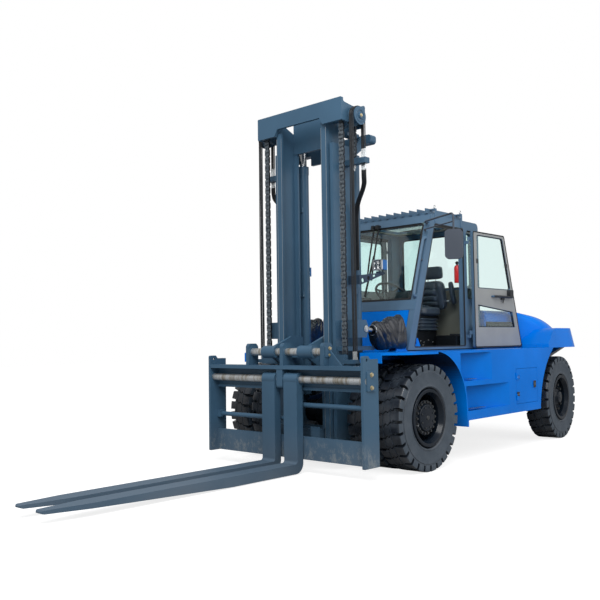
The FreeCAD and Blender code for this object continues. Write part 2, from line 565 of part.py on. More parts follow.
def dashboard():
    """Dash panel under the windscreen with the steering column, the lever box and the instrument pod."""
    floor = DECK_Z + 22
    panel = slab("x", -CAB_X + PILLAR + 14, CAB_X - PILLAR - 14, [(cab_line(floor) + 24, floor), (740, floor), (780, 1400, 60),
                                                              (860, 1780, 60), (800, 1850, 40), (736, 1850),
                                                              (736, 1725), (cab_line(1725) + 24, 1725)])
    column = bar((0, 840, 1660), (0, 1058.8, 1938.5), 45)
    pod = slab("x", 200, 460, [(760, 1840), (900, 1840, 20), (880, 1960, 20), (780, 1960, 20)])
    console = slab("x", -480, -300, [(1400, 1272), (1800, 1272), (1800, 1880, 40), (1400, 1880, 40)])
    levers = [bar((x, 1450, 1870), (x, 1430, 2020), 8) for x in (-440, -390, -340)]
    return fuse([panel, column, pod, console] + levers)


def steering_wheel():
    """Rim, three spokes and hub, tipped to the column."""
    rim = Part.makeTorus(205, 15)
    hub = Part.makeCylinder(42, 50, V(0, 0, -30), V(0, 0, 1))
    spokes = []
    for i in range(3):
        a = math.radians(90 + 120 * i)
        spokes.append(bar((0, 0, 0), (205 * math.cos(a), 205 * math.sin(a), 0), 11))
    wheel = fuse([rim, hub] + spokes)
    wheel.rotate(V(0, 0, 0), V(1, 0, 0), -math.degrees(math.atan2(220, 280)))
    wheel.translate(V(0, 1060 + 30 * 0.618, 1940 + 30 * 0.786))
    return wheel


def cab_glass():
    """Panes that stay put: windscreen, rear, the two behind the doors, and the roof light."""
    lean = [(cab_line(1852) + 20, 1852), (cab_line(1852) + 26, 1852), (cab_line(2798) + 26, 2798),
            (cab_line(2798) + 20, 2798)]
    front = slab("x", -CAB_X + PILLAR + 1, CAB_X - PILLAR - 1, lean)
    rear = slab("y", CAB_REAR_Y - 26, CAB_REAR_Y - 20, [(-529, 2056, 59), (529, 2056, 59), (529, 2779, 59),
                                                      (-529, 2779, 59)])
    quarter = slab("x", CAB_X - 26, CAB_X - 20, [(1837, 1891, 39), (2084, 1891, 39), (2084, 2779, 39),
                                                 (1837, 2779, 39)])
    roof = slab("z", CAB_Z1 - 34, CAB_Z1 - 28, [(-479, 1151, 49), (479, 1151, 49), (479, 1949, 49), (-479, 1949, 49)])
    return Part.makeCompound([front, rear, roof, quarter])


def door_outline(inset, z0, z1, y1):
    """Leaning front edge like the A-pillar, upright rear edge."""
    lean = (825 - 1235) / (2759 - 1262)

    def front(z):
        return HINGE_Y - 10 - (1235 + lean * (z - 1262)) + inset
    return [(front(z0), z0), (y1, z0), (y1, z1), (front(z1), z1)]


def cab_door(shift=0):
    """Left door as it closes the cab: pressed panel with an upper and a lower light, grip bar, hinges.
    shift moves the hinge edge back, for a deeper door."""
    def rounded(corners, radius):
        return [c + (radius,) for c in corners]
    hinge_y = HINGE_Y + shift
    y1 = hinge_y - 45
    panel = slab("x", DOOR_X0, DOOR_X1, rounded(door_outline(0, 1266, 2766, y1), 30))
    upper = slab("x", 0, 900, rounded(door_outline(65, 2034, 2720, y1 - 90), 40))
    lower_low = door_outline(110, 1532, 1775, y1 - 92)
    lower_low[2] = (lower_low[2][0], 1818)
    lower_low[3] = (lower_low[3][0], 1738)
    lower = slab("x", 0, 900, rounded(lower_low, 14))
    panel = panel.cut(upper).cut(lower)
    grip = bent_bar([(DOOR_X0 + 5, 1330, 1935), (DOOR_X0 - 40, 1330, 1935), (DOOR_X0 - 40, 858, 1935),
                     (DOOR_X0 + 5, 858, 1935)], 11, 22)
    lock = block(DOOR_X0 - 22, DOOR_X0 + 2, 854, 925, 1955, 2025)
    knuckles = []
    for z in (1440, 2640):
        knuckles.append(bar_z(HINGE_X, hinge_y, z, z + 45, 11))
        knuckles.append(block(DOOR_X1 - 8, HINGE_X, y1 - 30, hinge_y - 2, z, z + 45).cut(
            block(600, 800, hinge_y - 3, hinge_y + 40, 1000, 3000)))
    return fuse([panel, grip, lock] + knuckles)


def door_glass(shift=0):
    y1 = HINGE_Y + shift - 45

    def pane(corners, radius):
        return slab("x", DOOR_X0 + 14, DOOR_X0 + 20, [c + (radius,) for c in corners])
    upper = pane(door_outline(66, 2035, 2719, y1 - 91), 39)
    lower_low = door_outline(111, 1533, 1775, y1 - 93)
    lower_low[2] = (lower_low[2][0], 1817)
    lower_low[3] = (lower_low[3][0], 1737)
    return Part.makeCompound([upper, pane(lower_low, 13)])


def opened(shape):
    """A left door piece swung open about its hinge."""
    swung = shape.copy()
    swung.rotate(V(HINGE_X, HINGE_Y, 0), V(0, 0, 1), DOOR_OPEN)
    return swung


def overhead_guard():
    """Rack of lengthwise bars over the roof, on cross bars with a bracket at each corner."""
    bars = [block(-580 + 116 * i - 5, -580 + 116 * i + 5, 1003, 1830, 2916, 2976) for i in range(11)]
    cross = [block(-585, 585, y, y + 40, 2900, 2930) for y in (1060, 1400, 1740)]
    legs = []
    for y in (1100, 1700):
        legs += pair(block(CAB_X, CAB_X + 8, y, y + 40, 2800, 2976))
        legs += pair(block(575, CAB_X + 8, y, y + 40, 2960, 2976))
    return fuse(bars + cross + legs)


def mirrors():
    """Door mirror on bent tube arms from the A-pillar's face, a short one opposite, and the grab tubes."""
    def face(z):
        return CAB_FOOT_Y + (cab_line(CAB_Z1) + 14 - CAB_FOOT_Y) * (z - CAB_Z0) / (CAB_Z1 - CAB_Z0)
    pillar = slab("x", -700, 700, [(face(CAB_Z0), CAB_Z0), (face(CAB_Z0) + 90, CAB_Z0), (face(CAB_Z1) + 90, CAB_Z1),
                                   (face(CAB_Z1), CAB_Z1)])
    top = face(2780)
    arm = bent_bar([(612, top + 12, 2780), (612, top - 60, 2800), (1090, 800, 2835), (1093, 795, 2630)], 11, 40)
    brace = bent_bar([(612, face(2690) + 12, 2690), (612, face(2690) - 50, 2700), (1090, 798, 2735)], 8, 24)
    head = slab("y", 773, 817, [(991, 2298, 50), (1195, 2298, 50), (1195, 2643, 50), (991, 2643, 50)])
    head.rotate(V(1093, 795, 0), V(0, 0, 1), 25)
    short = bent_bar([(-612, top + 12, 2780), (-612, top - 60, 2790), (-790, 900, 2760), (-790, 896, 2640)], 11, 40)
    far_head = slab("y", 874, 918, [(-870, 2290, 50), (-715, 2290, 50), (-715, 2640, 50), (-870, 2640, 50)])

    def grab(low, high):
        out = -46
        return bent_bar([(628, face(high) + 15, high), (628, face(high) + out, high), (628, face(low) + out, low),
                         (628, face(low) + 15, low)], 13, 22)
    return Part.makeCompound([s.cut(pillar) for s in [fuse([arm, brace, head]), fuse([short, far_head])]
                              + pair(grab(1890, 2330))])


# ---------------------------------------------------------------- mast

def rail(x_in, x_out, y0, y1, z0, z1, web_at, flange=28, web=26):
    """Rolled channel or beam section: two flanges across y0 and y1 joined by a web."""
    return fuse([block(x_in, x_out, y0, y0 + flange, z0, z1), block(x_in, x_out, y1 - flange, y1, z0, z1),
                 block(web_at, web_at + web, y0, y1, z0, z1)])


def mast_outer_frame():
    """Fixed-height rails with cross members, the pivot bearings and the tilt cylinders' clevises."""
    channel = rail(OUTER_RAIL_X, OUTER_WEB_X, OUTER_FRONT_Y, OUTER_REAR_Y, RAIL_Z0, OUTER_TOP_Z, OUTER_WEB_X - 26)
    pieces = pair(channel)
    pieces.append(slab("y", -55, 45, [(-570, 3590, 34), (570, 3590, 34), (570, 3690, 34), (-570, 3690, 34)]))
    pieces.append(block(-320, 320, -60, -22, 3473, 3600))
    pieces.append(block(-OUTER_WEB_X, OUTER_WEB_X, -235, OUTER_REAR_Y - 1, 190, 420))
    gusset = slab("x", 452, 480, [(-232, 3440), (-205, 3440), (-30, 3560, 60), (-20, 3690), (-75, 3690, 20),
                                  (-232, 3530, 30)])
    gusset_foot = block(OUTER_WEB_X - 2, 455, -233, -205, 3440, 3530)
    arm = slab("x", 400, 448, [(OUTER_REAR_Y - 20, 330), (20, AXLE_Z - 178, 150), (190, AXLE_Z, 120),
                               (20, AXLE_Z + 178, 150), (OUTER_REAR_Y - 20, AXLE_Z + 178)])
    arm = arm.cut(bar_x(300, 600, 0, AXLE_Z, 130 + RUN))
    for x in (TILT_X - 56, TILT_X + 32):
        clevis = slab("x", x, x + 24, [(OUTER_REAR_Y - 110, EYE_Z - 95), (EYE_Y + 30, EYE_Z - 55, 40),
                                       (EYE_Y + 60, EYE_Z, 40), (EYE_Y + 30, EYE_Z + 55, 40),
                                       (OUTER_REAR_Y - 110, EYE_Z + 95), (OUTER_REAR_Y - 260, EYE_Z + 95),
                                       (OUTER_REAR_Y - 260, EYE_Z - 95)])
        pieces += pair(clevis)
    stand = block(OUTER_WEB_X - 2, TILT_X + 56, OUTER_REAR_Y - 262, OUTER_REAR_Y - 225, EYE_Z - 95, EYE_Z + 95)
    pin = bar_x(TILT_X - 62, TILT_X + 62, EYE_Y, EYE_Z, TILT_PIN_R)
    shelf = block(OUTER_WEB_X - 2, 560, -520, -200, 1272, 1318).fuse(block(454, 560, -201, -40, 1272, 1318))
    anchor_bar = block(OUTER_WEB_X - 2, HOSE_X + 50, -385, -300, ANCHOR_BAR_Z - 60, ANCHOR_BAR_Z)
    for piece in (arm, gusset, gusset_foot, stand, pin, shelf, anchor_bar):
        pieces += pair(piece)
    return fuse(pieces)


def lift_cylinders():
    """Barrels of the two lift cylinders, standing behind the rails on feet above the axle."""
    barrel = bar_z(LIFT_X, LIFT_Y, LIFT_Z0, 3440, LIFT_R - 4).cut(bar_z(LIFT_X, LIFT_Y, LIFT_Z0 + 60, 3500, 42 + RUN))
    gland = bar_z(LIFT_X, LIFT_Y, 3360, 3452, LIFT_R).cut(bar_z(LIFT_X, LIFT_Y, 3300, 3500, 42 + RUN))
    foot = block(LIFT_X - 60, LIFT_X + 60, OUTER_REAR_Y, LIFT_Y, LIFT_Z0, LIFT_Z0 + 50)
    clamps = [block(LIFT_X - 40, LIFT_X + 66, OUTER_REAR_Y, LIFT_Y - 50, z, z + 60) for z in (1900, 2900)]
    return Part.makeCompound(pair(fuse([barrel, gland, foot] + clamps)))


def mast_inner_frame():
    """Sliding rails with the head beam, the side plates that carry the sheaves, and cross members."""
    beam_section = rail(INNER_RAIL_X, INNER_RAIL_X + RAIL_FLANGE, INNER_FRONT_Y, INNER_REAR_Y, RAIL_Z0 + 10,
                        INNER_TOP_Z, INNER_RAIL_X + RAIL_FLANGE - 26)
    pieces = pair(beam_section)
    head = slab("y", BEAM_Y, BEAM_Y + BEAM_T, [(-BEAM_X, BEAM_Z0, 8), (-360, BEAM_Z0, 8), (-318, 3801, 12),
                                               (318, 3801, 12), (360, BEAM_Z0, 8), (BEAM_X, BEAM_Z0, 8),
                                               (BEAM_X, BEAM_Z1, 10), (-BEAM_X, BEAM_Z1, 10)])
    pieces.append(head)
    cheek = slab("x", BEAM_X - 22, BEAM_X, [(BEAM_Y + 10, BEAM_Z0), (-420, BEAM_Z0 - 10, 40), (-235, 3760, 30),
                                            (-225, 3960, 20), (-330, 3925, 60), (-440, 3908, 60),
                                            (-590, 3925, 40), (BEAM_Y + 10, BEAM_Z1 - 12)])
    gusset = slab("x", INNER_RAIL_X + 60, INNER_RAIL_X + RAIL_FLANGE, [(BEAM_Y + 10, BEAM_Z0), (-300, BEAM_Z0),
                                                                      (-300, 3800), (BEAM_Y + 10, 3940)])
    tie = block(-BEAM_X + 2, BEAM_X - 2, -300, -262, 3700, 3800)
    back_plate = block(-345, 345, -335, -300, 3560, 3965)
    chain_axle = bar_x(INNER_RAIL_X + 60, BEAM_X - 2, CHAIN_Y + CHAIN_R, SHEAVE_Z, 28)
    hose_axle = bar_x(BEAM_X - 10, HOSE_X + 52, HOSE_Y + HOSE_R, SHEAVE_Z, 20)
    sheave = turned([(CHAIN_X - 45, 20), (CHAIN_X - 45, CHAIN_R - 4), (CHAIN_X - 38, CHAIN_R - 4),
                     (CHAIN_X - 34, CHAIN_R - 22), (CHAIN_X + 34, CHAIN_R - 22), (CHAIN_X + 38, CHAIN_R - 4),
                     (CHAIN_X + 45, CHAIN_R - 4), (CHAIN_X + 45, 20)], CHAIN_Y + CHAIN_R, SHEAVE_Z)
    pulley = turned([(HOSE_X - 44, 15), (HOSE_X - 44, HOSE_R - 4), (HOSE_X - 37, HOSE_R - 4),
                     (HOSE_X - 34, HOSE_R - 20), (HOSE_X + 34, HOSE_R - 20), (HOSE_X + 37, HOSE_R - 4),
                     (HOSE_X + 44, HOSE_R - 4), (HOSE_X + 44, 15)], HOSE_Y + HOSE_R, SHEAVE_Z)
    lift_ear = block(LIFT_X - 50, LIFT_X + 50, -290, LIFT_Y + 45, 3655, 3700)
    ear_web = block(LIFT_X - 50, LIFT_X + 50, -300, -262, 3655, 3720)
    low_tie = block(-INNER_RAIL_X - 10, INNER_RAIL_X + 10, INNER_REAR_Y - 40, INNER_REAR_Y, 230, 420)
    for piece in (cheek, gusset, chain_axle, hose_axle, sheave, pulley, lift_ear, ear_web):
        pieces += pair(piece)
    return fuse(pieces + [tie, back_plate, low_tie])


def lift_rods():
    rod = bar_z(LIFT_X, LIFT_Y, LIFT_Z0 + 80, 3655, 42)
    return Part.makeCompound(pair(rod))


def strip(x, y, z0, z1, width, depth):
    return block(x - width / 2, x + width / 2, y - depth / 2, y + depth / 2, z0, z1)


def chain_front_runs():
    """Leaf chains from the carriage up to their sheaves."""
    return Part.makeCompound(pair(strip(CHAIN_X, CHAIN_Y, CHAIN_FOOT_Z, SHEAVE_Z, 62, 36)))


def chain_rear_runs():
    """Leaf chains from their sheaves down to the outer mast."""
    y = CHAIN_Y + 2 * CHAIN_R
    return Part.makeCompound(pair(strip(CHAIN_X, y, CHAIN_ANCHOR_Z - 28, SHEAVE_Z, 62, 36)))


def hose_front_runs():
    """Four hoses side by side from the carriage up to the pulleys."""
    return Part.makeCompound(pair(strip(HOSE_X, HOSE_Y, HOSE_FOOT_Z, SHEAVE_Z, 62, 17)))


def hose_rear_runs():
    y = HOSE_Y + 2 * HOSE_R
    return Part.makeCompound(pair(strip(HOSE_X, y, HOSE_ANCHOR_Z - 18, SHEAVE_Z, 62, 17)))


CHAIN_FOOT_Z = 1235
HOSE_FOOT_Z = 1180


# ---------------------------------------------------------------- carriage and forks

def carriage_rear():
    """Roller carriage in the inner rails: two roller plates, ties, and arms with the shaft sleeves."""
    plate = slab("x", 236, 272, [(-560, 190, 30), (-340, 190, 30), (-340, 1440, 40), (-560, 1440, 40)])
    pieces = pair(plate)
    for y, z in ((-450, 330), (-450, 1300)):
        pieces += pair(bar_x(270, 340, y, z, 98))
    for z0, z1 in ((300, 420), (1200, 1320)):
        pieces.append(block(-240, 240, -560, -510, z0, z1))
    for x0, x1 in ((218, 415), (-312, -120)):
        pieces.append(bar_x(x0, x1, UPPER_Y, UPPER_Z, 68))
    arm = slab("x", 236, 272, [(UPPER_Y + 44, UPPER_Z - 55, 20), (-540, 1040, 30), (-540, 1432),
                               (UPPER_Y + 44, UPPER_Z + 50, 20)])
    pad = block(236, 272, -700, -555, 330, 440)
    foot = block(200, 310, -720, -690, 300, 470)
    chain_arm = block(236, CHAIN_X + 45, -640, -602, 1130, 1232)
    chain_boss = bar_z(CHAIN_X, CHAIN_Y, 1130, CHAIN_FOOT_Z, 26)
    boss_link = block(CHAIN_X - 30, CHAIN_X + 30, -620, CHAIN_Y, 1150, 1210)
    hose_arm = block(CHAIN_X + 20, HOSE_X + 45, -640, HOSE_Y + 20, 1140, HOSE_FOOT_Z)
    for piece in (arm, pad, foot, chain_arm, chain_boss, boss_link, hose_arm):
        pieces += pair(piece)
    return fuse(pieces).cut(bar_x(-420, 420, UPPER_Y, UPPER_Z, UPPER_R + RUN))


def carriage_front():
    """Side-shifting frame: end plates with lifting lugs, top and back plates, rib, brackets, low bar."""
    end = slab("x", PLATE_X - PLATE_T, PLATE_X, [(PLATE_Y0, PLATE_Z0, 10), (PLATE_Y1, PLATE_Z0, 10),
                                                 (PLATE_Y1, PLATE_Z1, 10), (-878, PLATE_Z1, 20),
                                                 (-904, 1228, 20), (PLATE_Y0, 1228, 20)])
    end = end.cut(bar_x(1000, 1200, -930, 1188, 16))
    end = end.cut(bar_x(1000, 1200, SHAFT_Y, SHAFT_Z, SHAFT_R))
    keeper = slab("x", PLATE_X - 1, PLATE_X + 12, [(-942, 884, 8), (-810, 884, 8), (-810, 1078, 8), (-942, 1078, 8)])
    wing = slab("y", -862, -846, [(589, 1300), (760, 1124), (589, 1124)])
    top = block(-PLATE_X + 5, PLATE_X - 5, PLATE_Y0 + 4, -836, 1086, 1126)
    back = block(-PLATE_X + 5, PLATE_X - 5, -866, -836, 868, 1090)
    flange = block(-PLATE_X + 5, PLATE_X - 5, -880, -800, 868, 898)
    rib = slab("x", -44, 44, [(-984, 885, 30), (-860, 885), (-860, 1090), (-984, 1090)])
    rib = rib.cut(bar_x(-60, 60, SHAFT_Y, SHAFT_Z, SHAFT_R))
    low = block(-PLATE_X + 5, PLATE_X - 5, -884, -846, 148, 384)
    guide_left = bar_x(30, PLATE_X - 20, -850, 711, 25)
    guide_right = bar_x(-PLATE_X + 20, -30, -850, 556, 25)
    post = block(-34, 34, -872, -838, 380, 880)
    brackets = []
    for x0, x1 in ((-24, 24), (548, 590), (-545, -500)):
        bracket = slab("x", x0, x1, [(-950, 1120), (-800, 1120), (-800, 1330, 40), (-830, 1362, 30),
                                     (-930, 1362, 30), (-950, 1330, 20)])
        brackets.append(bracket.cut(bar_x(x0 - 5, x1 + 5, UPPER_Y, UPPER_Z, UPPER_R)))
    block_right = block(-PLATE_X + 20, -PLATE_X + 90, -890, -826, 520, 596)
    cap = slab("x", 589, 600, [(-925, 1215, 8), (-835, 1215, 8), (-835, 1325, 8), (-925, 1325, 8)])
    return fuse([top, back, flange, rib, low, guide_left, guide_right, post, block_right, wing, cap] + brackets +
                pair(end) + pair(keeper))


def fork_shafts():
    """Bare steel shafts: the forks hang on the lower, the frame slides along the sleeves on the upper."""
    lower = bar_x(-PLATE_X + 2, PLATE_X - 2, SHAFT_Y, SHAFT_Z, SHAFT_R)
    upper = bar_x(-545, 589, UPPER_Y, UPPER_Z, UPPER_R)
    return Part.makeCompound([lower, upper])


def fork():
    """Left fork: eye on the shaft, shank, heel with a large outer radius, blade thinned from below."""
    x0 = FORK_GAP / 2
    x1 = x0 + FORK_W
    front, rear = PLATE_Y0, PLATE_Y0 + FORK_T
    top = FORK_Z0 + 100
    side = slab("x", x0, x1, [(rear, SHAFT_Z), (rear, FORK_Z0, HEEL_R), (-1900, FORK_Z0, 400), (TIP_Y + 30, FORK_Z0 + 70),
                              (TIP_Y, FORK_Z0 + 80), (TIP_Y, FORK_Z0 + 92), (TIP_Y + 24, top), (front, top, 30),
                              (front, SHAFT_Z)])
    plan = slab("z", 0, 1200, [(x0, rear + 30), (x0, TIP_Y + 420, 200), (x0 + 48, TIP_Y, 36), (x1 - 48, TIP_Y, 36),
                               (x1, TIP_Y + 420, 200), (x1, rear + 30)])
    blade = side.common(plan)
    eye = bar_x(x0, x1, SHAFT_Y, SHAFT_Z, 72)
    bore = bar_x(x0 - 5, x1 + 5, SHAFT_Y, SHAFT_Z, SHAFT_R + RUN)
    return fuse([blade, eye]).cut(bore).cut(block(x0 - 5, x1 + 5, -872, -700, 860, 1060))


# ---------------------------------------------------------------- tilt cylinders

TILT_DIR = V(0, EYE_Y - TAIL_PIN_Y, EYE_Z - TAIL_PIN_Z).normalize()


def along(distance, x=TILT_X):
    """Point on the tilt cylinder's axis, measured from its tail pin."""
    return (x, TAIL_PIN_Y + TILT_DIR.y * distance, TAIL_PIN_Z + TILT_DIR.z * distance)


def tilt_cylinder():
    """Barrel with its tail eye."""
    eye = bar_x(TILT_X - 26, TILT_X + 26, TAIL_PIN_Y, TAIL_PIN_Z, 44)
    neck = bar(along(30), along(92), 24)
    barrel = bar(along(88), along(400), 50).cut(bar(along(100), along(420), 27 + RUN))
    return fuse([eye, neck, barrel]).cut(bar_x(TILT_X - 40, TILT_X + 40, TAIL_PIN_Y, TAIL_PIN_Z, TILT_PIN_R + RUN))


def tilt_rod():
    """Rod with its eye on the mast's clevis pin."""
    length = (V(0, EYE_Y, EYE_Z) - V(0, TAIL_PIN_Y, TAIL_PIN_Z)).Length
    eye = bar_x(TILT_X - 24, TILT_X + 24, EYE_Y, EYE_Z, 46)
    rod = bar(along(308), along(length), 27)
    return fuse([eye, rod]).cut(bar_x(TILT_X - 40, TILT_X + 40, EYE_Y, EYE_Z, TILT_PIN_R + EYE_RUN))


def tilt_boot():
    """Leathercloth bag over the cylinder: narrow at the rod, deep over the barrel, open at the back."""
    def section(y, half_x, z_low, z_high):
        r = min(half_x, (z_high - z_low) / 2) * 0.8
        return outline("y", y, [(TILT_X - half_x, z_low, r), (TILT_X + half_x, z_low, r),
                                (TILT_X + half_x, z_high, r), (TILT_X - half_x, z_high, r)])
    outer = Part.makeLoft([section(-205, 44, 1448, 1552), section(-60, 62, 1350, 1580),
                           section(120, 78, 1305, 1640), section(200, 80, 1300, 1650)], True, False)
    inner = Part.makeLoft([section(-206, 38, 1454, 1546), section(-60, 56, 1358, 1572),
                           section(120, 72, 1313, 1632), section(201, 74, 1308, 1642)], True, False)
    return outer.cut(inner)


# ---------------------------------------------------------------- lamps

def work_lamps():
    """Square lamps on holed triangular arms from the mast's sides."""
    arm = slab("x", 576, 586, [(-322, 1991), (-296, 1984), (150, 2126, 8), (150, 2144, 8), (-322, 2087)])
    arm = arm.cut(bar_x(560, 600, -262, 2034, 24)).cut(bar_x(560, 600, -160, 2062, 25))
    arm = arm.cut(slab("x", 560, 600, [(-95, 2074, 9), (-30, 2090, 9), (-30, 2110, 9), (-95, 2098, 9)]))
    root = block(OUTER_WEB_X, 586, -322, -306, 1991, 2087)
    foot = block(540, 600, 40, 110, 2126, 2150)
    stem = bar_z(566, 75, 2148, 2166, 9)
    head = slab("y", 42, 108, [(505, 2162, 16), (630, 2162, 16), (630, 2280, 16), (505, 2280, 16)])
    fins = [block(515 + 15 * i, 521 + 15 * i, 106, 130, 2174, 2268) for i in range(8)]
    return Part.makeCompound(pair(fuse([arm, root, foot, stem, head] + fins)))


# ---------------------------------------------------------------- build

def main():
    os.makedirs("parts", exist_ok=True)
    tyres, rim = front_wheel()
    rear_tyre, rear_rim = rear_wheel()
    nodes = {
        "chassis_frame": chassis_frame(), "drive_axle": drive_axle(), "steer_axle": steer_axle(),
        "side_body_left": side_body(1045), "side_body_right": mirrored(side_body(957)),
        "side_door_left": side_door(), "side_door_right": mirrored(side_door()),
        "counterweight": counterweight(), "engine_hood": engine_hood(), "engine_cover": engine_cover(),
        "engine_block": engine_block(), "cab_frame": cab_frame(), "cab_floor": cab_floor(),
        "sill_brackets": sill_brackets(), "driver_seat": seat(), "dashboard": dashboard(), "steering_wheel": steering_wheel(),
        "cab_glass": cab_glass(), "cab_door_left": opened(cab_door()), "door_glass_left": opened(door_glass()),
        "cab_door_right": mirrored(cab_door(RIGHT_B_Y - CAB_B_Y)),
        "door_glass_right": mirrored(door_glass(RIGHT_B_Y - CAB_B_Y)),
        "overhead_guard": overhead_guard(), "mirrors": mirrors(), "work_lamps": work_lamps(),
        "front_tyres_left": tyres, "front_rim_left": rim,
        "front_tyres_right": mirrored(tyres), "front_rim_right": mirrored(rim),
        "rear_tyre_left": steered(rear_tyre), "rear_rim_left": steered(rear_rim),
        "rear_tyre_right": steered(mirrored(rear_tyre), -1), "rear_rim_right": steered(mirrored(rear_rim), -1),
        "knuckle_left": steered(knuckle(True)), "knuckle_right": steered(mirrored(knuckle(False)), -1),
        "tie_rod": tie_rod(), "steer_rod": steer_rod(),
        "mast_outer_frame": mast_outer_frame(), "lift_cylinders": lift_cylinders(),
        "mast_inner_frame": mast_inner_frame(), "lift_rods": lift_rods(),
        "chain_front_runs": chain_front_runs(), "chain_rear_runs": chain_rear_runs(),
        "hose_front_runs": hose_front_runs(), "hose_rear_runs": hose_rear_runs(),
        "carriage_rear": carriage_rear(), "carriage_front": carriage_front(), "fork_shafts": fork_shafts(),
        "fork_left": fork(), "fork_right": mirrored(fork()),
        "tilt_cylinder_left": tilt_cylinder(), "tilt_cylinder_right": mirrored(tilt_cylinder()),
        "tilt_rod_left": tilt_rod(), "tilt_rod_right": mirrored(tilt_rod()),
        "tilt_boot_left": tilt_boot(), "tilt_boot_right": mirrored(tilt_boot()),
    }
    for name, shape in nodes.items():
        if not shape.isValid():
            print("not valid:", name)
        print("%-22s solids %d volume %.4f m3" % (name, len(shape.Solids), shape.Volume / 1e9))
        save(name, shape)


main()
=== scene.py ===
"""Heavy diesel forklift with a two-stage mast, a side-shifting carriage and a closed cab, on its CAD frame.

Metres, in the frame of the CAD: +X is the truck's left, +Y its rear, +Z up. The sections go from the painted
body through wheels, chains, hoses, mast, lamps, tilt cylinders and seat to the cab and the fittings bolted on
last, and end with the studio. Parts are given about the front axle, which skin() moves to its place.
"""
import math

import bmesh
import bpy
import numpy as np
from mathutils import Matrix, Vector


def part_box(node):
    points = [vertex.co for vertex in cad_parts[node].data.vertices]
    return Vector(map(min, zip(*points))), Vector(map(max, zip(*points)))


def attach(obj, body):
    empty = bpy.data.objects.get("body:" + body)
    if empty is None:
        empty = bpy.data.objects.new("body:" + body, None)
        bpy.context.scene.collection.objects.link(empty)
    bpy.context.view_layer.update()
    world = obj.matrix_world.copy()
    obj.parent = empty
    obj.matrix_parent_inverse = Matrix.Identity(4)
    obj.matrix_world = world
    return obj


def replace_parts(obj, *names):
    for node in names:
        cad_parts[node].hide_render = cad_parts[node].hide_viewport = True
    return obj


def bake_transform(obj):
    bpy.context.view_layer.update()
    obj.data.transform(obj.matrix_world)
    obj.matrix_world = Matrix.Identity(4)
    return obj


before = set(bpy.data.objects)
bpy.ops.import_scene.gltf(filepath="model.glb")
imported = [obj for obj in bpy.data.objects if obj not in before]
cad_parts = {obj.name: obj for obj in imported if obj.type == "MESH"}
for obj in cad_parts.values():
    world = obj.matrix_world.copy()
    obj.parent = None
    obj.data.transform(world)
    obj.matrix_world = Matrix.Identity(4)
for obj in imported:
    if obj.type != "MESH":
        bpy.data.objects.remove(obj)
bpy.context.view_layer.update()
HANDS = ((1, "left"), (-1, "right"))

# ------------------------------------------------------------------ body panels and deck
# Fenders, side bodies, cowl and engine covers are welded and bolted from 5 mm sheet and sprayed with a
# gloss two-pack machine enamel, which is smooth and bright with a faint orange peel and a film of yard dust
# low down. Downward faces of the side bodies, counterweight and frame, and the frame below the deck, are
# painted near black as shade. Everything here is the frame's own shape: only the finish is added.


def srgb(code):
    """Linear colour of an sRGB hex code."""
    value = np.array([int(code[i:i + 2], 16) for i in (1, 3, 5)]) / 255
    linear = np.where(value <= 0.04045, value / 12.92, ((value + 0.055) / 1.055) ** 2.4)
    return (*linear.tolist(), 1.0)


def connect(tree, node, inputs):
    """Links or sets inputs, by name or number: a node given as the value stands for its first live
    output."""
    for key, value in inputs.items():
        if isinstance(value, bpy.types.Node):
            value = next(output for output in value.outputs if output.enabled)
        if isinstance(value, bpy.types.NodeSocket):
            tree.links.new(value, node.inputs[key])
        else:
            node.inputs[key].default_value = value


def add(tree, kind, inputs, **settings):
    """Adds a shader node of a kind, with its settings and inputs."""
    made = tree.nodes.new("ShaderNode" + kind)
    for key, value in settings.items():
        setattr(made, key, value)
    connect(tree, made, inputs)
    return made


def new_material(name, **shader):
    """Material with one Principled shader whose sockets are set from the keywords."""
    material = bpy.data.materials.new(name)
    material.use_nodes = True
    principled = material.node_tree.nodes["Principled BSDF"]
    connect(material.node_tree, principled, {key.replace("_", " "): value for key, value in shader.items()})
    return material, material.node_tree, principled


